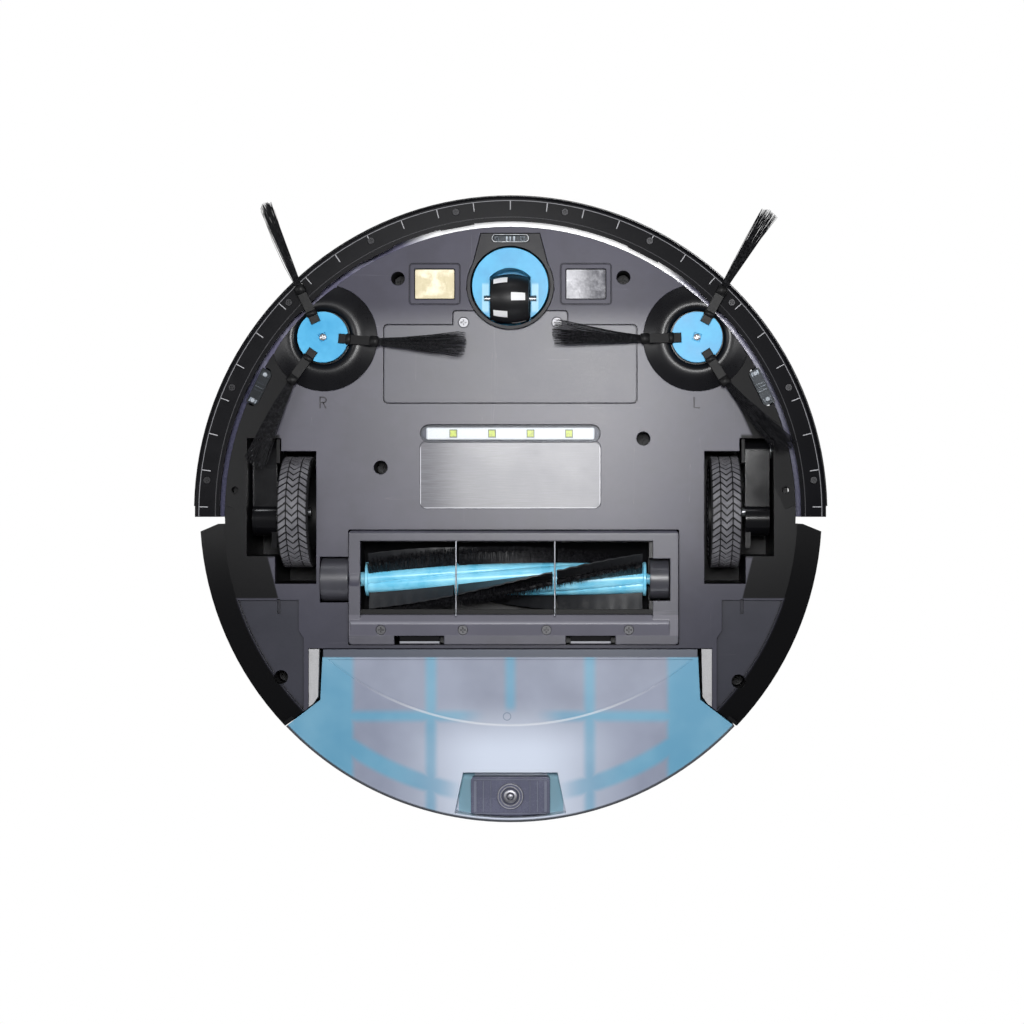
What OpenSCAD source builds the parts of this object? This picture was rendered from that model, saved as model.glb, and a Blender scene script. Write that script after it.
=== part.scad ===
// Robot vacuum cleaner, standing on its wheels.
// +Z is up, -Y is the front (bumper) and +Y is the rear (dust bin).
// The origin is on the floor, under the centre of the round body.

/* [Body] */
// Radius of the body behind the bumper
body_r = 172.3; // [171.8:0.1:172.8]
// Height of the top cover above the floor
body_h = 77; // [76:0.5:80]
// Height of the flat underside above the floor
base_z = 12; // [11.8:0.1:12.2]
// Thickness of the bottom plate
plate_t = 4; // [3.8:0.1:4.4]
// Radius of the bottom plate where the bumper wraps it
front_r = 157; // [156.6:0.1:157.2]

/* [Bumper] */
// Outer radius of the bumper
bumper_r = 175; // [174.8:0.1:175.4]
// How far the bumper can be pushed in
bumper_travel = 2.2; // [1.5:0.1:2.2]
// Angle between two tick marks along the bumper
tick_step = 6.85; // [6:0.05:8]

/* [Drive wheels] */
// Distance of each tyre from the middle of the body
wheel_x = 118.5; // [118.2:0.1:118.8]
// Outer radius of a tyre
wheel_r = 31; // [30.5:0.1:31]
// Width of a tyre
tyre_w = 16.5; // [15:0.5:16.5]
// Distance from a wheel's axle forward to its suspension pivot
arm_length = 34; // [33:0.5:34]

/* [Brushes] */
// Distance of each side brush from the middle of the body
side_brush_x = 102.5; // [102:0.1:103]
// Distance of the side brushes in front of the middle
side_brush_y = 95.8; // [95:0.1:96]
// Reach of the side brush bristles
side_brush_reach = 80; // [74:1:80]
// Radius of the main brush over its bristles
main_brush_r = 18.4; // [17.5:0.1:18.4]
// Distance of the main brush behind the middle
main_brush_y = 37.2; // [37:0.1:37.4]
// Height of the main brush axis above the floor
main_brush_z = 22; // [22:0.1:22.4]
// Turn of the main brush's rows from end to end, in degrees
row_twist = 120; // [90:5:150]

/* [Caster] */
// Radius of the caster wheel
caster_wheel_r = 13.5; // [13.3:0.1:13.5]
// Distance of the caster's pivot in front of the middle
caster_y = 124.4; // [124.2:0.1:124.6]
// Distance of the caster wheel's axle behind the pivot
caster_trail = 7; // [6:0.5:7]

/* [Hidden] */
$fn = 96;
small_fn = 32;
play = 0.05;                              // radial clearance of a running fit
gap = 0.4;                                // clearance round a panel in its pocket
wall = 2.5;                               // thickness of the body's walls
plate_top = base_z + plate_t;
wall_top = 58;                            // where the bottom chassis meets the top cover
front_wall_r = front_r - 3.5;             // outside of the wall behind the bumper
cover_front_r = 157;                      // top cover where the bumper wraps it
skirt_r = 158;                            // where the underside starts to slope up
skirt_z = 20;                             // height of the slope's outer edge
shoulder_x = 161;                         // where the rear body's shoulder starts
shoulder_y = 6.5;
shoulder_slope = 0.387;
far = 200;                                // beyond the whole body
bin_bottom_z = base_z;
bin_shell_r = 170.6;
bin_shell_top = 45;
latch_recess_r = 168.4;                   // rear end of the recess under the latch
bin_corners = [[-103.3, 79.9], [103.3, 79.9], [104.5, 103.3], [140, 130.6],
               [140, far], [-140, far], [-140, 130.6], [-104.5, 103.3]];
bay_corners = [[-111, 75], [111, 75], [111, 107.6], [142, 131.4],
               [142, far], [-142, far], [-142, 131.4], [-111, 107.6]];
hub_r = 13.9;
left_arm_angle = 58;                      // where the first arm of each side brush points at rest
right_arm_angle = 55;
dome_r = 29.3;
dome_low_z = 8.6;
caster_well_r = 22;
guard_x0 = -88.7;
guard_x1 = 92.4;
guard_y0 = 10.1;
guard_y1 = 72.8;
guard_z = 10.5;
guard_top = 14.5;
hinge_r = 2;                              // the guard turns about its rounded front edge
hinge_y = guard_y0 + hinge_r;
mouth_x0 = -82.4;
mouth_x1 = 78.4;
mouth_y0 = 15.9;
mouth_y1 = 53.4;
wire_x = [-29.8, 24.5];
wire_r = 0.45;                            // steel wires across the guard's mouth
brush_x0 = -80.3;
brush_x1 = 74.9;
core_r = 8;
facet_from = [120, -69.5];                // inner edge of the sloping side facets
facet_to = [133, -41];
facet_tilt = 4;
boss_xy = [[-61.8, -128.4], [62.2, -129], [-71.3, -24.5], [73.2, -40.4], [-126.3, 90.9], [125.6, 93.3]];
cover_screw_x = 25.7;
cover_screw_y = -104.3;
contact_xy = [41.6, -125.4];
cliff_side_xy = [138.5, -69];
cliff_turn = 26;                          // the side cliff windows follow the body's edge
led_x = [-31.4, -10.1, 11.1, 32.3];
led_y = -43.2;
fan_xy = [-130, 62];
button_y = -92;
button_r = 10;
guard_screw_x = [-71, -26, 19.9, 65.2];
guard_screw_y = 64.8;
rim_r = front_r + bumper_travel + 1;      // inner edge of the bumper's rim
lug_r = front_r + bumper_travel + 0.2;    // the lugs on that rim just clear the plate when pushed in
lug_angles = [-10.5, -27.2, 27.2, -44, 44];
bumper_screw_angles = [10.3, 27.2, 46.6, 65.9, 84];
spring_x = 47.5;

// ---------- shapes that repeat ----------

function unit(v) = v / norm(v);
function left_normal(a, b) = let (d = unit(b - a)) [-d[1], d[0]];
function mitre(a, b, c, by) =
    let (n1 = left_normal(a, b), n2 = left_normal(b, c)) b + by * (n1 + n2) / (1 + n1 * n2);

// An anticlockwise outline moved inwards by a distance
function inset(points, by) =
    let (n = len(points)) [for (k = [0:n - 1]) mitre(points[(k + n - 1) % n], points[k], points[(k + 1) % n], by)];

module slab(z0, z1) {
    translate([0, 0, z0])
        linear_extrude(z1 - z0)
            children();
}

module disc(r, z0, z1) {
    translate([0, 0, z0])
        cylinder(r = r, h = z1 - z0);
}

module tube(r_out, r_in, z0, z1) {
    difference() {
        disc(r_out, z0, z1);
        disc(r_in, z0 - 1, z1 + 1);
    }
}

module block(x0, x1, y0, y1, z0, z1) {
    translate([x0, y0, z0])
        cube([x1 - x0, y1 - y0, z1 - z0]);
}

// A cylinder along X
module rod(x0, x1, r, y, z) {
    translate([x0, y, z])
        rotate([0, 90, 0])
            cylinder(r = r, h = x1 - x0);
}

// A rectangle with round corners, given by its two edges in X and in Y
module rounded(x0, x1, y0, y1, r) {
    translate([x0 + r, y0])
        square([x1 - x0 - 2 * r, y1 - y0]);
    translate([x0, y0 + r])
        square([x1 - x0, y1 - y0 - 2 * r]);
    for (x = [x0 + r, x1 - r])
        for (y = [y0 + r, y1 - r])
            translate([x, y])
                circle(r = r, $fn = small_fn);
}

module pill(length, width) {
    square([length - width, width], center = true);
    for (s = [-1, 1])
        translate([s * (length - width) / 2, 0])
            circle(r = width / 2, $fn = small_fn);
}

module both_sides() {
    children();
    mirror([1, 0, 0])
        children();
}

// The robot's left side is +X; its right side is the mirror image
module on_side(side) {
    if (side > 0)
        children();
    else
        mirror([1, 0, 0])
            children();
}

module rear_region(by) {
    rise = shoulder_slope * (far - shoulder_x);
    polygon([[-far, shoulder_y + by + rise], [-shoulder_x, shoulder_y + by], [shoulder_x, shoulder_y + by],
             [far, shoulder_y + by + rise], [far, far], [-far, far]]);
}

// Plan of the body: a small circle in front and a large one behind the shoulders
module body_plan(small_r, large_r, by) {
    circle(r = small_r);
    intersection() {
        circle(r = large_r);
        rear_region(by);
    }
}

module bin_plan(r, by) {
    intersection() {
        circle(r = r - by);
        polygon(inset(bin_corners, by));
    }
}

module bay_plan(by) {
    polygon(inset(bay_corners, by));
}

// Places children on the sloping side facet: x runs outwards and y along its inner edge
module on_facet() {
    along = facet_to - facet_from;
    translate([facet_from[0], facet_from[1], base_z])
        rotate([0, 0, atan2(along[1], along[0]) - 90])
            rotate([0, -facet_tilt, 0])
                children();
}

// Places children at a side cliff window, flush with the facet
module at_side_cliff() {
    lift = tan(facet_tilt) * cliff_out();
    translate([cliff_side_xy[0], cliff_side_xy[1], base_z + lift])
        rotate([0, 0, 90 - cliff_turn])
            children();
}

function cliff_out() =
    let (n = -left_normal(facet_from, facet_to)) (cliff_side_xy - facet_from) * n;

// ---------- body ----------

// The pocket's corners are tighter than the guard's, so that the guard can turn in it
module guard_plan(by) {
    rounded(guard_x0 - by, guard_x1 + by, guard_y0 - by, guard_y1 + by, by > 0 ? 0.8 : 2);
}

module battery_cover_plan(by) {
    difference() {
        union() {
            rounded(-69.5 - by, 69.5 + by, -102.9 - by, -60 + by, 2.5);
            rounded(-31.4 - by, 31.4 + by, -110.6 - by, -90, 2);
        }
        translate([0, -caster_y])
            circle(r = caster_well_r + 2.2 - by);
    }
}

module caster_panel_plan(by) {
    polygon([[-16.1 - by, -153.2 - by], [16.1 + by, -153.2 - by], [24.2 + by, -122], [-24.2 - by, -122]]);
    translate([0, -caster_y])
        circle(r = caster_well_r + 1.8 + by);
}

module side_recess_plan() {
    intersection() {
        circle(r = skirt_r - 0.5);
        polygon([[116.4, 48.5], [160, 48.6], [160, 120], [113.6, 109], [113.6, 69.5], [116.4, 65.3]]);
    }
}

module wheel_slot_plan(by) {
    translate([106.7 - by, -33.5 - by])
        square([22.8 + 2 * by, 73 + 2 * by]);
    translate([126 - by, -40.6 - by])
        square([19 + 2 * by, 64.9 + 2 * by]);
}

// Rear edge of the plate: a shell that slopes up to the outer wall
module skirt() {
    intersection() {
        rotate_extrude()
            polygon([[skirt_r - 1, base_z], [skirt_r, base_z], [body_r, skirt_z], [body_r, skirt_z + 4],
                     [body_r - wall, skirt_z + 4], [skirt_r + 2, plate_top], [skirt_r - 1, plate_top]]);
        slab(base_z - 1, skirt_z + 5)
            rear_region(0);
    }
}

module skirt_cutter() {
    rotate_extrude()
        polygon([[skirt_r, base_z - 1], [skirt_r, base_z], [body_r, skirt_z],
                 [body_r + 8, skirt_z + 4.5], [body_r + 8, base_z - 1]]);
}

// Walls of a wheel well, open below
module wheel_well() {
    difference() {
        slab(plate_top - 0.01, 68)
            wheel_slot_plan(1.8);
        slab(base_z - 1, 66)
            wheel_slot_plan(0);
    }
    block(127.5, 129.4, -41, -27, plate_top - 0.01, 42);
}

module plate_openings() {
    both_sides() {
        slab(base_z - 1, plate_top + 1)
            wheel_slot_plan(0);
        slab(base_z - 1, base_z + 1.6)
            side_recess_plan();
        translate([side_brush_x, -side_brush_y, 0])
            disc(dome_r + 0.1, base_z - 1, plate_top + 1);
        translate([contact_xy[0], contact_xy[1], 0])
            slab(base_z - 1, base_z + 2.4)
                rounded(-11.2, 11.2, -8.5, 8.5, 1);
        translate([contact_xy[0], contact_xy[1], 0])
            slab(base_z - 1, base_z + 0.5)
                difference() {
                    rounded(-14.2, 14.2, -11.5, 11.5, 2);
                    rounded(-13.5, 13.5, -10.8, 10.8, 1.5);
                }
        translate([151.5, -12, 0])
            disc(1.9, base_z - 1, plate_top + 1);
        translate([cover_screw_x, cover_screw_y, 0])
            disc(1.1, base_z - 1, plate_top + 1);
        at_side_cliff()
            slab(-3, 6)
                pill(22.6, 7.6);
        // arrow marks that point at the bin
        block(126.6, 128.4, 48, 56, base_z - 1, base_z + 2.6);
    }
    slab(base_z - 1, plate_top + 1)
        guard_plan(gap);
    slab(base_z - 1, plate_top + 1)
        translate([-104.8, main_brush_y - 12.6])
            square([18.4, 25.2]);
    slab(base_z - 1, base_z + 2.6)
        battery_cover_plan(gap);
    slab(base_z - 1, plate_top + 1)
        rounded(-66, 66, -99, -64, 2);
    slab(base_z - 1, plate_top + 1)
        caster_panel_plan(0.3);
    slab(base_z - 1, base_z + 0.3)
        rounded(-49.8, 49.8, -39, -1.8, 3.6);
    translate([0, led_y, 0])
        slab(base_z - 1, base_z + 2.8)
            pill(99.2, 9.9);
    slab(base_z - 1, far)
        bay_plan(0);
}

// Screw tube that stands on the plate
module screw_boss(xy) {
    translate([xy[0], xy[1], 0])
        disc(6.4, plate_top - 0.01, 40);
}

module screw_boss_hole(xy) {
    translate([xy[0], xy[1], 0]) {
        disc(3.8, base_z - 1, 32);
        disc(1.7, base_z, 41);
    }
}

// Windows in the front wall for the bumper's guide tabs
module guide_windows() {
    both_sides()
        block(spring_x + 20, spring_x + 36, -far, -100, 43, 51);
}

module vent_slots() {
    for (angle = [8:4:36])
        rotate([0, 0, 180 - angle])
            block(165, 176, -1.1, 1.1, 32, 50);
}

module bottom_chassis() {
    color("#4a4852")
    difference() {
        union() {
            difference() {
                union() {
                    slab(base_z, plate_top)
                        body_plan(front_r, skirt_r, 0);
                    slab(plate_top - 0.01, wall_top)
                        difference() {
                            body_plan(front_wall_r, body_r, 0);
                            body_plan(front_wall_r - wall, body_r - wall, wall);
                        }
                }
                skirt_cutter();
                both_sides()
                    on_facet()
                        block(0, 60, -45, 75, -20, 0);
            }
            skirt();
            both_sides()
                wheel_well();
            // walls of the bin bay
            slab(plate_top - 0.01, wall_top)
                intersection() {
                    circle(r = body_r - 1);
                    difference() {
                        bay_plan(-2);
                        bay_plan(0);
                    }
                }
            for (xy = boss_xy)
                screw_boss(xy);
        }
        plate_openings();
        for (xy = boss_xy)
            screw_boss_hole(xy);
        both_sides()
            rod(120, 150, 2, -arm_length, 30);
        // suction duct into the bin
        block(-60.5, 60.5, 70, 80, 25, 43);
        guide_windows();
        vent_slots();
    }
}

module cover_profile(r) {
    round_r = 5;
    polygon(concat(
        [[0, body_h - 2.8], [r - 5.5, body_h - 2.8], [r - wall, body_h - 6.5], [r - wall, wall_top + 0.3],
         [r, wall_top + 0.3]],
        [for (a = [0:15:90]) [r - round_r + round_r * cos(a), body_h - round_r + round_r * sin(a)]],
        [[0, body_h]]));
}

module top_cover() {
    color("#18181b")
    difference() {
        union() {
            rotate_extrude()
                cover_profile(cover_front_r);
            // flange that closes the front skirt onto the chassis wall
            tube(cover_front_r - 1, front_wall_r - 0.5, wall_top + 0.3, wall_top + 2.5);
            intersection() {
                rotate_extrude()
                    cover_profile(body_r);
                slab(wall_top, body_h + 1)
                    rear_region(0);
            }
            // ceiling of the bin bay
            slab(wall_top + 0.6, wall_top + 2.6)
                intersection() {
                    circle(r = body_r - 1);
                    bay_plan(-2);
                }
            // shoulder walls
            slab(wall_top + 0.3, body_h - 2)
                intersection() {
                    circle(r = body_r - 1);
                    difference() {
                        rear_region(0);
                        rear_region(wall);
                        circle(r = cover_front_r - 1);
                    }
                }
        }
        disc(112.3, body_h - 1, body_h + 1);
        translate([0, button_y, 0])
            disc(button_r + 0.3, body_h - 10, body_h + 1);
        both_sides()
            for (xy = boss_xy)
                translate([abs(xy[0]), xy[1], 0])
                    disc(1.2, wall_top, wall_top + 2);
    }
}

module top_panel() {
    color("#2a2b30")
    difference() {
        disc(112, body_h - 1, body_h + 0.4);
        translate([0, button_y, 0])
            disc(button_r + 0.3, body_h - 2, body_h + 1);
    }
}

module power_button() {
    color("#c9ccd2")
    translate([0, button_y, 0]) {
        disc(button_r, body_h - 4, body_h + 1.4);
        disc(button_r + 1.2, body_h - 4.4, body_h - 3.1);
    }
}

module battery_cover() {
    color("#55525c")
    difference() {
        slab(base_z, base_z + 2.5)
            battery_cover_plan(0);
        for (s = [-1, 1])
            translate([s * cover_screw_x, cover_screw_y, 0]) {
                disc(2.8, base_z - 1, base_z + 1.2);
                disc(1.1, base_z, base_z + 3);
            }
    }
}

module battery_pack() {
    color("#2f6fb0")
        slab(base_z + 2.8, 42)
            rounded(-65, 65, -98.4, -64.6, 3);
}

module main_board() {
    color("#1f5b3a")
        block(-70, 70, -56, 22, 62, 63.6);
    color("#202022")
        for (x = [-40, 0, 40])
            block(x - 9, x + 9, -30, -12, 63.6, 66);
}

// Screw heads sunk in the plate and in the battery cover
module screw_with_head(xy, z, head_r, head_h, shank_r, shank_top) {
    translate([xy[0], xy[1], 0])
        difference() {
            union() {
                disc(head_r, z, z + head_h, $fn = small_fn);
                disc(shank_r, z + head_h - 0.01, shank_top, $fn = small_fn);
            }
            for (turn = [0, 90])
                rotate([0, 0, turn])
                    block(-head_r * 0.6, head_r * 0.6, -0.35, 0.35, z - 1, z + head_h * 0.4);
        }
}

module underside_screws() {
    color("#8d8f94") {
        for (xy = boss_xy)
            screw_with_head(xy, 29.4, 3.2, 2.4, 1.5, 52);
        for (s = [-1, 1])
            screw_with_head([s * cover_screw_x, cover_screw_y], base_z + 0.1, 2.6, 1.1, 1, plate_top - 0.2);
    }
}

module rating_label() {
    color("#b9bcc4")
        slab(base_z - 0.1, base_z + 0.25)
            rounded(-49.6, 49.6, -38.1, -2, 3.6);
}

module light_lens() {
    color("#dfe8f0", 0.5)
    translate([0, led_y, 0])
        difference() {
            slab(base_z - 0.3, base_z + 1.6)
                pill(98.8, 9.5);
            slab(base_z + 0.5, base_z + 2)
                pill(97, 7.7);
        }
}

module light_board() {
    color("#f4f6f8")
    translate([0, led_y, 0])
        slab(base_z + 1.65, base_z + 2.7)
            rounded(-46.3, 46.3, -3.3, 3.3, 1);
    color("#d9e24a")
        for (x = led_x)
            block(x - 2.1, x + 2.1, led_y - 2.2, led_y + 2.2, base_z + 0.7, base_z + 1.64);
}

module charge_contacts() {
    color("#d8cfa0")
    both_sides()
        translate([contact_xy[0], contact_xy[1], 0])
            slab(base_z + 0.5, base_z + 2.3)
                rounded(-10.75, 10.75, -8, 8, 0.6);
}

module cliff_windows() {
    color("#c8ccd2", 0.6) {
        both_sides()
            at_side_cliff()
                slab(-0.1, 1.4)
                    pill(22, 7);
        translate([0, -150.6, 0])
            slab(base_z - 0.1, base_z + 1.4)
                pill(20.4, 4.4);
    }
}

// Soft pads that seal the sides of the bin
module bin_seat_pads() {
    color("#d6cfc0")
    both_sides()
        slab(base_z + 0.4, plate_top)
            polygon([[105.2, 75.4], [110.9, 75.4], [110.9, 107.2], [108.6, 105.6], [105.8, 101.5]]);
}

// ---------- caster ----------

module caster_socket() {
    color("#3a3940")
    difference() {
        union() {
            slab(base_z, plate_top)
                caster_panel_plan(0);
            translate([0, -caster_y, 0]) {
                disc(caster_well_r + 1.8, plate_top - 1, 35);
                disc(7, 34, 46);
            }
        }
        translate([0, -caster_y, 0]) {
            disc(caster_well_r, base_z - 1, 32.5);
            disc(4 + play, 30, 47);
        }
        translate([0, -150.6, 0])
            slab(base_z - 1, plate_top + 1)
                pill(21, 5);
        block(-10, 10, -156, -147, 13.6, 36);
    }
}

module caster_swivel() {
    axle_y = -caster_y + caster_trail;
    color("#59c2f2")
    difference() {
        union() {
            translate([0, -caster_y, 0]) {
                disc(20.9, base_z - 0.5, 31.5);
                disc(4, 31, 49);
            }
        }
        // slot for the wheel, with a round front
        slab(base_z - 2, 28.6)
            translate([0, -caster_y]) {
                translate([-11.25, 0])
                    square([22.5, 40]);
                intersection() {
                    translate([0, 5.2])
                        circle(r = 15);
                    square([22.5, 60], center = true);
                }
            }
        rod(-14.4, 14.4, 1.5 + play, axle_y, caster_wheel_r);
        // slots that the axle snaps into
        block(-14.4, 14.4, axle_y - 1.5, axle_y + 1.5, base_z - 2, caster_wheel_r);
    }
}

module caster_axle() {
    color("#d7dbe0")
        rod(-14.2, 14.2, 1.5, -caster_y + caster_trail, caster_wheel_r);
}

module caster_wheel() {
    color("#151517")
    translate([0, -caster_y + caster_trail, caster_wheel_r])
        rotate([0, 90, 0])
            rotate_extrude()
                polygon(concat(
                    [[1.5 + play, -10.5]],
                    [for (x = [-10.5:1.5:10.5]) [caster_wheel_r - 2 * pow(x / 10.5, 2), x]],
                    [[1.5 + play, 10.5]]));
}

// ---------- drive wheels ----------

module wheel_pivot_pins() {
    color("#b8bcc2")
        both_sides()
            rod(127.6, 146.8, 1.95, -arm_length, 30);
}

module suspension_springs() {
    color("#8f949b")
        both_sides()
            difference() {
                rod(143.9, 144.9, 4.6, -arm_length, 30);
                rod(143, 146, 2.6, -arm_length, 30);
            }
}

module wheel_arm(side) {
    color("#121214")
    on_side(side)
        difference() {
            union() {
                rod(130, 143.5, 9.3, 4, 29);
                block(130, 143.5, -arm_length, 4, 23, 37);
                rod(130, 143.5, 6.2, -arm_length, 30);
                block(130, 133, 4, 20, 23, 27);
            }
            rod(129, 145, 1.95 + play, -arm_length, 30);
            rod(129, 134, 2.5, 0, wheel_r);
        }
}

module wheel_arm_left() { wheel_arm(1); }
module wheel_arm_right() { wheel_arm(-1); }

// Gear motor behind the arm, with the drive shaft that carries the wheel
module wheel_motor(side) {
    color("#a9adb3")
    on_side(side) {
        rod(112, 133.9, 2.45, 0, wheel_r);
        translate([136.7, -14, 0])
            disc(6, 37.1, 60);
    }
}

module wheel_motor_left() { wheel_motor(1); }
module wheel_motor_right() { wheel_motor(-1); }

module wheel_rim(side) {
    inner = wheel_x - tyre_w / 2 + 0.8;
    color("#26262a")
    on_side(side)
        difference() {
            union() {
                rod(inner, wheel_x + tyre_w / 2 - 0.8, 25.9, 0, wheel_r);
            }
            rod(inner - 1, inner + 9, 21, 0, wheel_r);
            rod(inner + 12, wheel_x + tyre_w, 21, 0, wheel_r);
            rod(100, 140, 2.45 + play, 0, wheel_r);
        }
}

module wheel_rim_left() { wheel_rim(1); }
module wheel_rim_right() { wheel_rim(-1); }

module wheel_tyre(side) {
    color("#3a3b3e")
    on_side(side)
        translate([wheel_x, 0, wheel_r])
            rotate([0, 90, 0])
                rotate_extrude()
                    polygon([[26, -tyre_w / 2], [wheel_r - 1.2, -tyre_w / 2], [wheel_r, -tyre_w / 2 + 1.8],
                             [wheel_r, tyre_w / 2 - 1.8], [wheel_r - 1.2, tyre_w / 2], [26, tyre_w / 2]]);
}

module wheel_tyre_left() { wheel_tyre(1); }
module wheel_tyre_right() { wheel_tyre(-1); }

// ---------- side brushes ----------

// The three arms of a brush, as the brushes stand at rest
function arm_angles(side) = [for (k = [0:2]) (side > 0 ? left_arm_angle : right_arm_angle) + 120 * k];

module side_brush_domes() {
    color("#0f0f11")
    both_sides()
        intersection() {
            translate([side_brush_x, -side_brush_y, 0])
                difference() {
                    union() {
                        translate([0, 0, dome_low_z])
                            cylinder(r1 = 17.5, r2 = dome_r, h = base_z - dome_low_z);
                        disc(dome_r, base_z - 0.01, plate_top);
                    }
                    disc(hub_r + 0.7, dome_low_z - 1, dome_low_z + 2.2);
                    disc(3.4, 0, 20);
                }
            disc(front_r, 0, 30);
        }
}

module side_brush_motors() {
    color("#909499")
    both_sides()
        translate([side_brush_x, -side_brush_y, 0])
            difference() {
                disc(10, plate_top + 0.3, 46);
                disc(3 + play, plate_top, 23);
            }
}

// Children are drawn in a frame centred on a side brush's axis
module at_side_brush(side) {
    on_side(side)
        translate([side_brush_x, -side_brush_y, 0])
            children();
}

module side_brush_hub(side) {
    color("#58c1f3")
    at_side_brush(side)
        difference() {
            union() {
                disc(hub_r, 7.2, 10.2);
                disc(3, 10, 22);
            }
            for (angle = arm_angles(side))
                rotate([0, 0, angle])
                    block(8.6, 20, -2.7, 2.7, 6, 9.6);
            rotate([0, 0, 17])
                block(-2.1, 2.1, -2.1, 2.1, 6, 8.4);
        }
}

module side_brush_hub_left() { side_brush_hub(1); }
module side_brush_hub_right() { side_brush_hub(-1); }

// Rubber arms that slope down from the hub
module side_brush_arms(side) {
    color("#111113")
    at_side_brush(side)
        for (angle = arm_angles(side))
            rotate([0, 0, angle])
                rotate([90, 0, 0])
                    translate([0, 0, -2.5])
                        linear_extrude(5)
                            polygon([[8.7, 6.8], [17, 5.9], [30, 4.4], [30, 6.6], [17, 7.9], [14.3, 8.2], [13.8, 9.5], [8.7, 9.5]]);
}

module side_brush_arms_left() { side_brush_arms(1); }
module side_brush_arms_right() { side_brush_arms(-1); }

// Each bundle fans out and slopes down to just above the floor
module side_brush_bristles(side) {
    reach = side_brush_reach;
    color("#0b0b0c")
    at_side_brush(side)
        for (angle = arm_angles(side))
            rotate([0, 0, angle])
                intersection() {
                    slab(0, 12)
                        polygon([[30.1, -2], [reach, -7], [reach, 7], [30.1, 2]]);
                    rotate([90, 0, 0])
                        translate([0, 0, -10])
                            linear_extrude(20)
                                polygon([[30.1, 4.6], [reach, 1.6], [reach, 3.2], [30.1, 6.4]]);
                }
}

module side_brush_bristles_left() { side_brush_bristles(1); }
module side_brush_bristles_right() { side_brush_bristles(-1); }

// ---------- main brush ----------

module brush_housing() {
    color("#1a1a1d")
    difference() {
        union() {
            block(-86.2, 83, 12.6, 60, plate_top + 0.2, 46);
            block(-62, 62, 59, 72.6, 23, 45);
        }
        // room for the brush
        rod(-83.2, 76.4, 20.6, main_brush_y, main_brush_z);
        block(-83.2, 76.4, main_brush_y - 20.6, main_brush_y + 20.6, plate_top - 1, main_brush_z);
        // duct to the bin
        block(-60, 60, main_brush_y + 8, 76, 25, 43);
        rod(-90, 0, 4.6, main_brush_y, main_brush_z);
        // seat of the bearing block
        block(76.2, 90, 25.4, 49, plate_top - 1, 33.4);
    }
}

module brush_drive_box() {
    color("#2b2b2f")
    difference() {
        union() {
            rod(-104.4, -89.2, 12.3, main_brush_y, main_brush_z);
            block(-104.4, -89.2, main_brush_y - 12.3, main_brush_y + 12.3, main_brush_z, 66);
        }
        rod(-100, -80, 4 + play, main_brush_y, main_brush_z);
        rod(-95, -80, 9.2, main_brush_y, 56);
    }
}

module brush_motor() {
    color("#a9adb3")
        rod(-94.9, -48, 9, main_brush_y, 56);
}

module brush_bearing() {
    color("#232327")
    difference() {
        union() {
            rod(76.9, 87.3, 11, main_brush_y, main_brush_z);
            block(76.9, 87.3, main_brush_y - 11, main_brush_y + 11, main_brush_z, 31.6);
        }
        rod(70, 84, 3 + play, main_brush_y, main_brush_z);
    }
}

module brush_core() {
    color("#5cc4f4")
    translate([0, main_brush_y, main_brush_z])
        rotate([0, 90, 0])
            rotate([0, 0, 180]) {
                disc(core_r, brush_x0, brush_x1);
                disc(9.5, brush_x0, brush_x0 + 1.6);
                disc(9.5, brush_x1 - 1.6, brush_x1);
                disc(4, -98, brush_x0 + 1);
                disc(3, brush_x1 - 1, 83);
            }
}

// Radial rows that wind round the core, with a gap at each guard wire
module helical_rows(first_angle, thickness, r) {
    span = brush_x1 - brush_x0 - 4;
    translate([brush_x0 + 2, main_brush_y, main_brush_z])
        rotate([0, 90, 0])
            difference() {
                linear_extrude(span, twist = row_twist, slices = 24, $fn = 8)
                    for (turn = [0, 120, 240])
                        rotate([0, 0, first_angle + turn])
                            translate([core_r + 0.15, -thickness / 2])
                                square([r - core_r - 0.15, thickness]);
                for (x = wire_x)
                    translate([0, 0, x - brush_x0 - 2 - 1.6])
                        difference() {
                            cylinder(r = 30, h = 3.2);
                            translate([0, 0, -1])
                                cylinder(r = 9.6, h = 5.2);
                        }
            }
}

module brush_bristles() {
    color("#0d0d0f")
        helical_rows(-32, 3.4, main_brush_r);
}

module brush_blades() {
    color("#3d3e43")
        helical_rows(66, 1.8, main_brush_r - 0.6);
}

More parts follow.
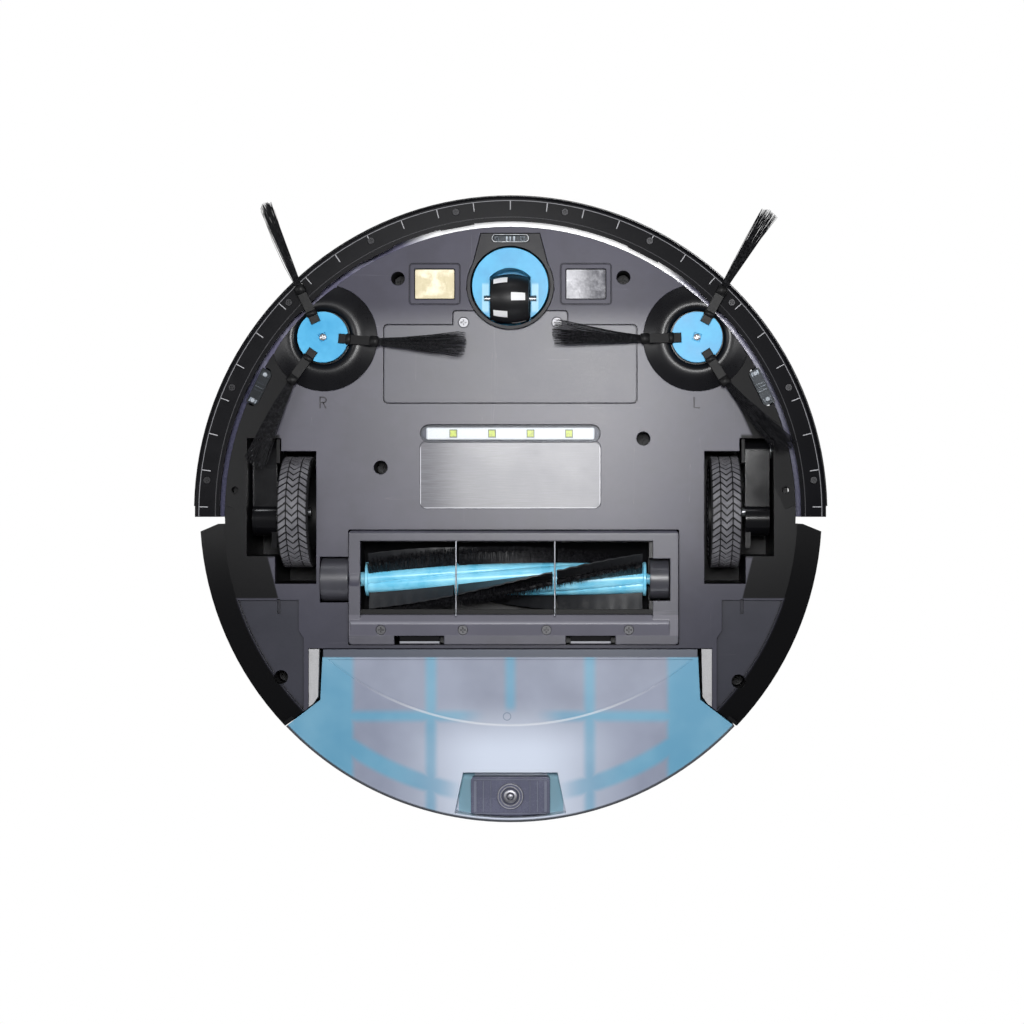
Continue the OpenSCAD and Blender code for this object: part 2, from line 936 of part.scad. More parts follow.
module guard_frame() {
    color("#4d4b54")
    difference() {
        union() {
            slab(guard_z, guard_top)
                difference() {
                    guard_plan(0);
                    translate([mouth_x0, mouth_y0])
                        square([mouth_x1 - mouth_x0, mouth_y1 + 6 - mouth_y0]);
                    translate([mouth_x1 - 2, main_brush_y - 11.6])
                        square([11.5, 23.2]);
                    for (x = [-50, 44.2])
                        translate([x - 13.7, 68])
                            square([27.4, 10]);
                }
            // rear bar with its ridge
            translate([guard_x0 + 1, 0, 0])
                rotate([90, 0, 90])
                    linear_extrude(guard_x1 - guard_x0 - 6)
                        polygon([[56.2, 11.4], [61.3, 9.8], [67.8, 10.5], [67.8, guard_top], [56.2, 13.4]]);
            // hump over the driven end of the brush
            intersection() {
                difference() {
                    rod(-88.2, -83, 12, main_brush_y, main_brush_z);
                    rod(-89, -82, 10.3, main_brush_y, main_brush_z);
                }
                block(-90, -80, 20, 55, 5, guard_top);
            }
            // latch tabs
            for (x = [-50, 44.2])
                block(x - 11, x + 11, 67.7, guard_y1, 13.2, guard_top);
        }
        for (x = wire_x)
            translate([x, mouth_y0 - 2, 11.6])
                rotate([-90, 0, 0])
                    cylinder(r = wire_r + 0.05, h = 44, $fn = small_fn);
        for (x = guard_screw_x)
            translate([x, guard_screw_y, 0]) {
                disc(2.7, 5, 11.9);
                disc(1, 5, 15);
            }
        // room for the drive box and the brush's stub
        rod(-95, -80, 10.3, main_brush_y, main_brush_z);
        // round front edge, which the frame turns about
        difference() {
            block(guard_x0 - 1, guard_x1 + 1, guard_y0 - 1, hinge_y, guard_z - 1, guard_top + 1);
            rod(guard_x0 - 2, guard_x1 + 2, hinge_r, hinge_y, guard_z + hinge_r);
        }
    }
}

module guard_wires() {
    color("#d3d6da")
        for (x = wire_x)
            translate([x, mouth_y0 - 1.9, 11.6])
                rotate([-90, 0, 0])
                    cylinder(r = wire_r, h = 43.6, $fn = small_fn);
}

module guard_scraper() {
    color("#1c1c1f")
    difference() {
        block(mouth_x0 + 0.2, mouth_x1 - 0.2, mouth_y1, 56.1, 10.6, 12.5);
        for (x = wire_x)
            block(x - 0.7, x + 0.7, 50, 60, 10, 13);
    }
}

module guard_screws() {
    color("#55575c")
        for (x = guard_screw_x)
            screw_with_head([x, guard_screw_y], 10.4, 2.5, 1.45, 0.95, guard_top - 0.2);
}

// ---------- bumper ----------

module bumper_sector(y_end) {
    slab(0, body_h + 5)
        translate([-far, -far])
            square([2 * far, far + y_end]);
}

module bumper_shell() {
    color("#141416")
    difference() {
        intersection() {
            union() {
                rotate_extrude()
                    polygon([[rim_r, 13.6], [162.4, 13.6], [162.4, 13], [172.5, 13], [174, 14.5], [174, 70],
                             [172.5, 73], [160.4, 74], [160.4, 72], [171.3, 70], [171.3, 16], [163.4, 16], [163.4, 24],
                             [162, 24], [162, 15.6], [rim_r, 15.6]]);
                // lugs that widen the inner rim
                for (angle = lug_angles)
                    rotate([0, 0, angle])
                        block(-9.5, 9.5, -161.5, -lug_r, 13.6, 15.2);
                // spring seats
                both_sides()
                    block(spring_x - 4.5, spring_x + 4.5, -171, -160.8, 45, 54);
                // guide tabs that reach into the chassis
                both_sides()
                    block(spring_x + 22, spring_x + 34, -160, -128, 45, 49);
                for (k = [-13:13])
                    rotate([0, 0, k * tick_step])
                        block(-0.25, 0.25, -171.3, -166.4, 12.7, 13.5);
                intersection() {
                    slab(13, 73)
                        difference() {
                            circle(r = 172);
                            circle(r = 162);
                        }
                    slab(12, 74)
                        translate([-far, 0.4])
                            square([2 * far, 2.3]);
                }
            }
            bumper_sector(2.7);
        }
        bumper_sector_cut();
        for (angle = bumper_screw_angles)
            for (s = [-1, 1])
                rotate([0, 0, s * angle])
                    translate([0, -167.9, 0]) {
                        disc(1.9, 12, 14.2);
                        disc(0.9, 12, 17);
                    }
    }
}

// Trims the guide tabs to the outer wall's inner face
module bumper_sector_cut() {
    tube(far, bumper_r - 1, 0, body_h + 5);
}

module bumper_skin() {
    color("#1d1d20")
    intersection() {
        tube(bumper_r, bumper_r - 1 + 0.02, 17, 69);
        bumper_sector(-3.3);
    }
}

module bumper_window() {
    color("#2b2c40")
    intersection() {
        tube(161.9, 158.2, 24.2, 40);
        bumper_sector(2.5);
    }
}

module bumper_screws() {
    color("#6c6e73")
        for (angle = bumper_screw_angles)
            for (s = [-1, 1])
                rotate([0, 0, s * angle])
                    screw_with_head([0, -167.9], 12.9, 1.8, 1.2, 0.85, 16);
}

module bumper_springs() {
    color("#b5b9be")
        both_sides()
            translate([spring_x, -160.7, 49.5])
                rotate([-90, 0, 0])
                    difference() {
                        cylinder(r = 3, h = 10.8);
                        translate([0, 0, -1])
                            cylinder(r = 2.2, h = 13);
                    }
}

// ---------- suction fan ----------

module fan_housing() {
    color("#222226")
    translate([fan_xy[0], fan_xy[1], 0])
        difference() {
            disc(18, plate_top + 2, 46);
            disc(15.6, plate_top + 4.4, 44);
            disc(7, 40, 50);
            disc(1.5 + play, plate_top, 24);
        }
}

module fan_impeller() {
    color("#5cc4f4")
    translate([fan_xy[0], fan_xy[1], 0]) {
        disc(14.4, 22, 24);
        disc(3.5, 23, 40);
        disc(1.5, 18.8, 23);
        for (k = [0:9])
            rotate([0, 0, k * 36])
                block(3, 14, -0.5, 0.5, 23.5, 38);
    }
}

// ---------- dust bin ----------

module latch_recess_plan(by) {
    polygon(inset([[-26, 143.3], [26, 143.3], [31.6, 170], [31.6, far], [-31.6, far], [-31.6, 170]], by));
}

module bin_shell() {
    color("#b5cfe0", 0.6)
    difference() {
        union() {
            slab(bin_bottom_z, bin_shell_top)
                difference() {
                    bin_plan(bin_shell_r, 0);
                    bin_plan(bin_shell_r, 2);
                }
            slab(bin_bottom_z, bin_bottom_z + 2)
                bin_plan(bin_shell_r, 0);
            // lip along the front
            slab(bin_bottom_z + 0.8, bin_bottom_z + 2)
                translate([-103, 75.6])
                    square([206, 5]);
            // tub over the latch
            slab(bin_bottom_z, 24)
                intersection() {
                    bin_plan(bin_shell_r, 0);
                    latch_recess_plan(-1.6);
                }
        }
        slab(bin_bottom_z - 1, 22)
            intersection() {
                circle(r = latch_recess_r);
                latch_recess_plan(0);
            }
        // shallow step with a curved edge
        slab(bin_bottom_z - 1, bin_bottom_z + 0.5)
            intersection() {
                translate([0, -41.2])
                    circle(r = 158.2);
                bin_plan(bin_shell_r, 1.2);
            }
        // inlet from the suction duct
        block(-58, 58, 70, 86, 26, 42);
        // opening for the latch button
        block(-18, 18, 160, 180, 26, 40);
    }
}

// Ribbed frame that carries the filter just above the bin's floor
module bin_frame() {
    rib = 4.5;
    color("#62c4ea")
    slab(bin_bottom_z + 2.05, bin_bottom_z + 4.4)
        difference() {
            bin_plan(bin_shell_r, 2.2);
            latch_recess_plan(-2.2);
            intersection() {
                circle(r = 155);
                union() {
                    for (x = [-87, -44 + rib / 2, rib / 2, 44 + rib / 2])
                        for (y = [[82.5, 110.6], [115.4, far]])
                            translate([x, y[0]])
                                square([x < -80 ? 43 - rib / 2 : 44 - rib - (x > 40 ? 1 : 0), y[1] - y[0]]);
                }
            }
        }
}

module bin_lid() {
    color("#232327")
    difference() {
        slab(bin_shell_top + 0.05, wall_top - 0.3)
            bin_plan(body_r, 0);
        slab(bin_shell_top - 1, wall_top - 2.5)
            bin_plan(bin_shell_r, 4);
    }
}

module bin_filter() {
    color("#a39c98")
    slab(bin_bottom_z + 4.5, bin_bottom_z + 13)
        difference() {
            bin_plan(bin_shell_r, 3);
            latch_recess_plan(-2.2);
        }
}

module bin_latch() {
    color("#3a3c46")
    difference() {
        intersection() {
            union() {
                slab(13.6, 21.9)
                    rounded(-21.7, 21.7, 145.9, 174, 2);
                translate([0, 156.5, 0]) {
                    disc(6.9, 12.6, 14);
                }
            }
            disc(167.2, 10, 30);
        }
        translate([0, 156.5, 0])
            disc(5.4, 11, 14.6);
    }
}

// Press it in to let the bin slide out
module bin_latch_button() {
    color("#2c2d33")
    intersection() {
        block(-17.4, 17.4, 161, 180, 26.6, 39.4);
        disc(171.6, 20, 50);
    }
}

bottom_chassis();
top_cover();
top_panel();
power_button();
battery_cover();
battery_pack();
main_board();
underside_screws();
rating_label();
light_lens();
light_board();
charge_contacts();
cliff_windows();
bin_seat_pads();
side_brush_domes();
side_brush_motors();
side_brush_hub_left();
side_brush_arms_left();
side_brush_bristles_left();
side_brush_hub_right();
side_brush_arms_right();
side_brush_bristles_right();
brush_housing();
brush_drive_box();
brush_motor();
brush_bearing();
brush_core();
brush_bristles();
brush_blades();
guard_frame();
guard_wires();
guard_scraper();
guard_screws();
caster_socket();
caster_swivel();
caster_axle();
caster_wheel();
wheel_pivot_pins();
suspension_springs();
wheel_arm_left();
wheel_motor_left();
wheel_rim_left();
wheel_tyre_left();
wheel_arm_right();
wheel_motor_right();
wheel_rim_right();
wheel_tyre_right();
bumper_shell();
bumper_skin();
bumper_window();
bumper_screws();
bumper_springs();
fan_housing();
fan_impeller();
bin_shell();
bin_frame();
bin_filter();
bin_lid();
bin_latch();
bin_latch_button();
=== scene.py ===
"""Robot vacuum cleaner: the looks of every part, on the CAD frame.

Units are metres. +Z is up, -Y is the front and +X is the robot's left side.
The camera looks up at the underside, with the front of the robot at the top of the picture.
"""

import math
import random

import bmesh
import bpy
import numpy as np
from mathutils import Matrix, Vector

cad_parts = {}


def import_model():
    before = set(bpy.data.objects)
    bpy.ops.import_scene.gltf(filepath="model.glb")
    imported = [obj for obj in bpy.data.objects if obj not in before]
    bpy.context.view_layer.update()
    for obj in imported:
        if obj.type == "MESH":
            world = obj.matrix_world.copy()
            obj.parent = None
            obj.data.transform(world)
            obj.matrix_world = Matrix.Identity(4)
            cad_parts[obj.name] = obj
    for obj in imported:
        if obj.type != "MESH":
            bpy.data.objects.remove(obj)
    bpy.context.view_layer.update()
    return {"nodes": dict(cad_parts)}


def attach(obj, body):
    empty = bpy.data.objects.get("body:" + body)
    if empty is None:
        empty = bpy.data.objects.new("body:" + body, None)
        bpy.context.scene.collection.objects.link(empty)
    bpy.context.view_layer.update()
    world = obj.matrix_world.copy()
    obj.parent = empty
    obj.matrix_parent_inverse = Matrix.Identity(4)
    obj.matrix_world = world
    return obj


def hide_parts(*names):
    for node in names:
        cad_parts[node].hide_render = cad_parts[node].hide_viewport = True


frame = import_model()
random.seed(11)

MM = 0.001
# places in millimetres and angles in degrees
PLATE_Z = 12.0  # underside of the bottom plate
ROLLER_Y, ROLLER_Z = 37.2, 22.0  # axis of the roller brush
ROLLER_X0, ROLLER_X1 = -80.3, 74.9  # its two ends
ROW_TWIST = 120.0  # how far its rows wind from end to end
ROWS = (-32, 88, 208)  # angles of the bristle rows at the -X end
BLADES = (66, 186, 306)  # and of the rubber blades
WIRE_X = (-29.8, 24.5)  # wires of the brush guard
WIRE_GAP = 1.2  # from a wire's middle to the bristles and blades beside it
SPANS = (
    (ROLLER_X0 + 2.2, WIRE_X[0] - WIRE_GAP),
    (WIRE_X[0] + WIRE_GAP, WIRE_X[1] - WIRE_GAP),
    (WIRE_X[1] + WIRE_GAP, ROLLER_X1 - 2.2),
)
CASTER_AXLE_Y, CASTER_R = -117.4, 13.5
WHEEL_X, WHEEL_R = 118.5, 31.0
BRUSH_X, BRUSH_Y = 102.5, -95.8
# each side brush's bundles: angle of the arm, half the spread of the tips, and how far they lean
BUNDLES = {
    1: ((58, 6.6, -9.0), (178, 7.0, 5.0), (298, 4.6, 3.0)),
    -1: ((55, 6.0, 9.0), (175, 7.2, 2.5), (295, 3.4, -2.5)),
}
LED_X = (-31.4, -10.1, 11.1, 32.3)  # chips of the light strip
LED_Y = -43.2
LETTER_Y = -60.1  # marks L and R
LATCH_Y = 156.5  # middle of the bin's latch
POWER_Y = -92.0  # middle of the power button


# ---------- shader building ----------


class Shader:
    """A material, with short calls that add its nodes."""

    def __init__(self, name):
        self.material = bpy.data.materials.new(name)
        self.material.use_nodes = True
        self.tree = self.material.node_tree
        self.tree.nodes.clear()
        self.output = self.tree.nodes.new("ShaderNodeOutputMaterial")
        self.coordinates = None

    def put(self, node, inputs):
        """Gives a node's inputs their numbers, colours or links."""
        for key, value in inputs.items():
            socket = node.inputs[key]
            if isinstance(value, bpy.types.NodeSocket):
                self.tree.links.new(value, socket)
            elif isinstance(value, (tuple, list)) and socket.type == "RGBA" and len(value) == 3:
                socket.default_value = (*value, 1.0)
            else:
                socket.default_value = value
        return node

    def node(self, kind, inputs=None, **settings):
        n = self.tree.nodes.new("ShaderNode" + kind)
        for key, value in settings.items():
            setattr(n, key, value)
        return self.put(n, inputs or {})

    def place(self):
        """Where a point of the surface is in its object, which is the frame's own place at rest."""
        if self.coordinates is None:
            self.coordinates = self.node("TexCoord").outputs["Object"]
        return self.coordinates

    def xyz(self):
        return tuple(self.node("SeparateXYZ", {0: self.place()}).outputs)

    def math(self, operation, a, b=None, clamp=False):
        inputs = {0: a} if b is None else {0: a, 1: b}
        return self.node("Math", inputs, operation=operation, use_clamp=clamp).outputs[0]

    def smooth(self, value, low, high):
        """0 up to low, 1 from high on, and a smooth step between them."""
        limits = {0: value, 1: low, 2: high, 3: 0.0, 4: 1.0}
        return self.node("MapRange", limits, interpolation_type="SMOOTHSTEP").outputs[0]

    def below(self, value, low, high):
        """1 up to low, 0 from high on, and a smooth step between them."""
        return self.math("SUBTRACT", 1.0, self.smooth(value, low, high))

    def level(self, mask, at_0, at_1):
        """One number where the mask is 0 and another where it is 1."""
        return self.remap(mask, 0.0, 1.0, at_0, at_1)

    def remap(self, value, low, high, to_low, to_high):
        return self.node("MapRange", {0: value, 1: low, 2: high, 3: to_low, 4: to_high}).outputs[0]

    def band(self, value, low, high, soft=0.0003):
        """1 between low and high, 0 outside."""
        up = self.smooth(value, low - soft, low + soft)
        return self.math("MULTIPLY", up, self.below(value, high - soft, high + soft))

    def both(self, *masks, operation="MULTIPLY"):
        out = masks[0]
        for m in masks[1:]:
            out = self.math(operation, out, m)
        return out

    def either(self, *masks):
        return self.both(*masks, operation="MAXIMUM")

    def abs(self, value):
        return self.math("ABSOLUTE", value)

    def length(self, u, v):
        """Length of the diagonal over two sides."""
        squares = self.math("ADD", self.math("MULTIPLY", u, u), self.math("MULTIPLY", v, v))
        return self.math("SQRT", squares)

    def radius(self, cx=0.0, cy=0.0):
        """Distance from an upright axis."""
        x, y, _ = self.xyz()
        return self.length(self.math("SUBTRACT", x, cx), self.math("SUBTRACT", y, cy))

    def noise(self, scale, detail=2.0, rough=0.5, stretch=None):
        vector = self.place()
        if stretch:
            vector = self.node("Mapping", {0: vector, 3: stretch}).outputs[0]
        n = self.node("TexNoise", {"Vector": vector, "Scale": scale, "Detail": detail, "Roughness": rough})
        return n.outputs[0]

    def mix(self, fac, a, b):
        n = self.node("Mix", data_type="RGBA", clamp_factor=True)
        self.put(n, {0: fac, 6: a, 7: b})
        return n.outputs[2]

    def over(self, base, colour, mask, amount):
        """A colour laid over the base where the mask is, as strong as amount says."""
        return self.mix(self.math("MULTIPLY", mask, amount), base, colour)

    def bump(self, height, distance, strength=1.0, normal=None):
        n = self.node("Bump", {"Height": height, "Distance": distance, "Strength": strength})
        if normal is not None:
            self.tree.links.new(normal, n.inputs["Normal"])
        return n.outputs[0]

    def crevice(self, distance, low=0.25, high=0.85):
        """1 in the open, falling to 0 in narrow gaps and corners."""
        n = self.node("AmbientOcclusion", {"Distance": distance}, samples=4)
        return self.smooth(n.outputs["AO"], low, high)

    def edge(self, radius):
        return self.node("Bevel", {"Radius": radius}, samples=4).outputs[0]

    def relief(self, height, depth, edge, strength=1.0):
        """The normal of a fine relief over rounded edges, both in millimetres."""
        return self.bump(height, depth * MM, strength, self.edge(edge * MM))

    def principled(self, **inputs):
        names = {k.replace("_", " ").title().replace("Ior", "IOR"): v for k, v in inputs.items()}
        return self.node("BsdfPrincipled", names)

    def surface(self, base, roughness, normal, **more):
        """Ends the material as one principled surface."""
        return self.done(self.principled(base_color=base, roughness=roughness, normal=normal, **more))

    def done(self, shader):
        socket = shader.outputs[0] if hasattr(shader, "outputs") else shader
        self.tree.links.new(socket, self.output.inputs[0])
        return self.material


def moulded(
    name, colour, roughness=0.45, grain=0.012, grain_scale=1500, specular=0.5, edge=0.35, mottle=0.08,
    coat=0.0, marks=None, metallic=0.0, gaps=1.4, shine=None, drift=0.035,
):
    """Moulded plastic or painted metal: rounded edges, a fine grain, faint mottling, slight wear, and
    painted shade in narrow gaps and corners.

    marks(s, base) returns the colour with more on it, painted light and shade among it, and shine(s) a
    factor for the specular level.
    """
    s = Shader(name)
    cloud = s.noise(38.0, 4.0, 0.6)
    fine = s.noise(grain_scale, 3.0, 0.65)
    dark = tuple(c * (1 - 2 * mottle) for c in colour)
    light = tuple(min(1.0, c * (1 + mottle)) for c in colour)
    base = s.mix(s.smooth(cloud, 0.3, 0.7), dark, light)
    base = s.over(base, light, s.smooth(fine, 0.45, 0.75), 0.12)
    if marks:
        base = marks(s, base)
    if shine:
        specular = s.math("MULTIPLY", shine(s), specular)
    # painted shade: the colour darkens towards black in narrow gaps and corners
    if gaps:
        base = s.mix(s.crevice(gaps * MM), tuple(c * 0.08 for c in colour), base)
    rough = s.remap(cloud, 0.3, 0.7, roughness - drift, roughness + drift)
    rough = s.math("ADD", rough, s.remap(fine, 0.3, 0.7, -0.03, 0.03))
    normal = s.relief(fine, grain, edge)
    return s.surface(
        base, rough, normal, specular_ior_level=specular, coat_weight=coat, coat_roughness=0.08,
        metallic=metallic,
    )


def brushed(name, colour, roughness=0.3, along="x", streak=0.5, edge=0.15):
    """Plain or brushed metal, with fine streaks along one axis."""
    s = Shader(name)
    stretch = {"x": (0.03, 1, 1), "y": (1, 0.03, 1), "z": (1, 1, 0.03)}[along]
    lines = s.noise(5200.0, 3.0, 0.7, stretch)
    cloud = s.noise(260.0, 4.0, 0.6)
    base = s.mix(s.smooth(lines, 0.35, 0.7), tuple(c * (1 - 0.35 * streak) for c in colour), colour)
    base = s.over(base, tuple(c * 0.6 for c in colour), s.smooth(cloud, 0.5, 0.75), 0.35)
    rough = s.remap(cloud, 0.3, 0.7, roughness - 0.06, roughness + 0.08)
    normal = s.relief(lines, 0.004, edge)
    return s.surface(base, rough, normal, metallic=0.95)


# ---------- materials ----------


def chassis_painted_shade(s, base):
    """The plate is purple-grey, with painted shade: darker in its recesses and towards the rear, and painted
    black where it turns away from the light and inside its openings.
    """
    x, y, z = s.xyz()
    recess = s.both(s.smooth(z, 0.0130, 0.0134), s.smooth(s.abs(x), 0.112, 0.1132))
    shallow = s.both(s.smooth(z, 0.0124, 0.0126), s.below(z, 0.0131, 0.0134))
    # painted shade: darker towards the rear, where less light falls
    base = s.over(base, (0.022, 0.024, 0.033), s.smooth(y, 0.0, 0.062), 0.45)
    # painted shade in the recesses towards the sides
    base = s.over(base, (0.012, 0.014, 0.018), recess, 0.4)
    # painted shade in the shallow recesses
    base = s.over(base, (0.016, 0.016, 0.02), shallow, 0.25)
    # painted shade: near-black over the rim, the sides, the facets and the insides
    return s.mix(chassis_shade_mask(s), base, (0.0058, 0.0058, 0.0064))


def chassis_shade_mask(s):
    """Where the bottom plate is painted black as shade: sloping rim, beside the wheels, side facets and
    insides.
    """
    x, y, z = s.xyz()
    across = s.abs(x)
    rim = s.both(s.smooth(s.radius(), 0.1565, 0.1590), s.smooth(y, 0.0, 0.004))
    beside = s.both(s.smooth(across, 0.1262, 0.1275), s.band(y, -0.0425, 0.0250, 0.001))
    slanting = s.math("ADD", across, s.math("MULTIPLY", y, 0.25))
    behind = s.both(s.smooth(slanting, 0.1390, 0.1400), s.band(y, 0.02, 0.0475, 0.0005))
    out = s.math("MULTIPLY", s.math("SUBTRACT", across, 0.120), 0.9098)
    slope = s.math("ADD", out, s.math("MULTIPLY", s.math("ADD", y, 0.0695), -0.4150))
    facet = s.both(s.smooth(slope, 0.0, 0.0012), s.band(y, -0.1200, -0.0400, 0.0015))
    return s.either(rim, beside, behind, facet, s.smooth(z, 0.0145, 0.0175))


def chassis_shine(s):
    """Less shine where the plate is painted black as shade, on the front edge, on the robot's left and
    towards the rear.
    """
    x, y, _ = s.xyz()
    front = s.level(s.smooth(y, -0.116, -0.096), 0.30, 1.0)
    rear = s.level(s.smooth(y, 0.0, 0.062), 1.0, 0.48)
    left = s.level(s.smooth(x, 0.045, 0.120), 1.0, 0.66)
    dull = s.level(chassis_shade_mask(s), 1.0, 0.35)
    return s.both(front, rear, left, dull)


def plate_marks(s, base):
    """Handling marks: a few short, faint scratches."""
    scratch = s.noise(210.0, 2.0, 0.5, (1.0, 0.04, 1.0))
    across = s.noise(160.0, 2.0, 0.5, (0.05, 1.0, 1.0))
    line = s.either(s.band(scratch, 0.694, 0.70, 0.002), s.band(across, 0.70, 0.706, 0.002))
    return s.over(base, (0.16, 0.155, 0.185), line, 0.22)


def chassis_scratches_and_shade(s, base):
    """Scratches first, and then the painted shade over them: dark recesses and near-black parts."""
    return chassis_painted_shade(s, plate_marks(s, base))


def guard_sunk(s):
    """The recesses above the two release tabs, and the sides of their notches."""
    _, y, z = s.xyz()
    return s.both(s.band(y, 0.0672, 0.0712, 0.0001), s.smooth(z, 0.0108, 0.0112))


def guard_shine(s):
    """Almost no shine in the guard's recesses."""
    return s.level(guard_sunk(s), 1.0, 0.08)


def guard_scratches_and_painted_light(s, base):
    """Scratches, painted shade in the black recesses, painted highlights as pale lines on the edges of the
    tabs and along the top of the ridge, and a paler band painted over the ridge.
    """
    _, y, z = s.xyz()
    edge = s.both(s.band(y, 0.0712, 0.0722, 0.0001), s.smooth(z, 0.0126, 0.0130))
    crest_highlight = s.band(y, 0.0598, 0.0617, 0.0005)
    crest_highlight = s.both(crest_highlight, s.below(z, 0.01005, 0.01025))
    ridge = s.both(s.band(y, 0.0565, 0.0680, 0.0004), s.below(z, 0.0112, 0.0116))
    # the ridge is painted a paler purple-grey
    base = s.over(plate_marks(s, base), (0.125, 0.122, 0.155), ridge, 0.5)
    # painted shade: the recesses over the tabs are painted near-black
    base = s.mix(guard_sunk(s), base, (0.006, 0.006, 0.007))
    # painted highlight: pale lines on the edges of the tabs
    base = s.over(base, (0.35, 0.36, 0.40), edge, 0.7)
    # painted highlight: a pale line along the top of the ridge
    return s.over(base, (0.22, 0.22, 0.26), crest_highlight, 0.55)


def bumper_shine(s):
    """The bumper is glossier on the robot's right than on its left."""
    x, _, _ = s.xyz()
    return s.level(s.smooth(x, -0.06, 0.10), 1.25, 0.25)


def bumper_painted_highlights(s, base):
    """Painted highlights on the bumper's lower face: bright tick marks and bright edge lines."""
    _, _, z = s.xyz()
    r = s.radius()
    tick = s.both(s.below(z, 0.01290, 0.01298), s.band(r, 0.1664, 0.1713))
    outer = s.both(s.band(r, 0.1713, 0.17165, 0.00008), s.below(z, 0.0131, 0.0133))
    inner = s.band(r, 0.1622, 0.16255, 0.0001)
    inner = s.both(inner, s.below(z, 0.0137, 0.0139))
    # painted highlight: a bright line along the outer edge
    base = s.over(base, (0.30, 0.30, 0.32), outer, 0.8)
    # painted highlight: a fainter line along the inner edge
    base = s.over(base, (0.15, 0.15, 0.16), inner, 0.6)
    # painted highlight: the tick marks are painted bright
    return s.mix(tick, base, (0.42, 0.42, 0.44))


def wheel_patches(s, base):
    """Grey dust in the seams of the caster wheel's rubber."""
    grime = s.smooth(s.noise(420.0, 4.0, 0.7), 0.62, 0.8)
    return s.over(base, (0.12, 0.12, 0.12), grime, 0.25)


def window_material():
    """The bumper's infra-red window: painted near-white with a painted glow in front, as bright light seen
    through it, and smoked violet towards its ends.
    """
    s = Shader("smoked_plastic")
    x, y, z = s.xyz()
    angle = s.math("ARCTAN2", x, s.math("MULTIPLY", y, -1.0))
    left_end = s.below(angle, math.radians(-22), math.radians(-14))
    right_end = s.smooth(angle, math.radians(30), math.radians(38))
    tint = s.either(left_end, right_end)
    far_end = s.smooth(s.abs(angle), math.radians(56), math.radians(64))
    streaks = s.noise(900.0, 3.0, 0.6, (1.0, 1.0, 0.15))
    facets = s.smooth(s.noise(75.0, 2.0, 0.5), 0.48, 0.56)
    # painted highlights: the violet is lightened along streaks and on pale facets
    violet = s.mix(streaks, (0.10, 0.095, 0.17), (0.26, 0.25, 0.38))
    violet = s.over(violet, (0.50, 0.50, 0.62), facets, 0.35)
    violet = s.mix(far_end, violet, s.mix(streaks, (0.030, 0.030, 0.055), (0.15, 0.15, 0.25)))
    # painted light: the front is painted near-white, as bright light seen through the window
    base = s.mix(tint, (0.97, 0.97, 1.0), violet)
    # painted shade: the upper part is painted dark, so that the gap beside it reads dark from above
    high = s.smooth(z, 0.0246, 0.0256)
    base = s.mix(high, base, (0.03, 0.03, 0.05))
    # painted light: the front glows, though it is no lamp
    painted_glow = s.math("MULTIPLY", s.math("SUBTRACT", 1.0, s.either(tint, high)), 0.55)
    normal = s.relief(streaks, 0.02, 0.3)
    return s.surface(base, 0.16, normal, emission_color=(1.0, 1.0, 1.0), emission_strength=painted_glow)


def glass_material(name, tint, density, roughness=0.05, specular=0.7):
    """A clear cover: what is behind it shows through, with a gloss on top."""
    s = Shader(name)
    waves = s.noise(420.0, 2.0, 0.5)
    normal = s.relief(waves, 0.03, 0.3)
    gloss = s.principled(
        base_color=(0.01, 0.01, 0.012), roughness=roughness, normal=normal, specular_ior_level=specular,
    )
    clear = s.node("BsdfTransparent", {0: tint})
    rim = s.node("LayerWeight", {0: 0.25, "Normal": normal}).outputs["Fresnel"]
    fac = s.math("ADD", s.math("MULTIPLY", rim, 0.6), density, clamp=True)
    return s.done(s.node("MixShader", {0: fac, 1: clear.outputs[0], 2: gloss.outputs[0]}))


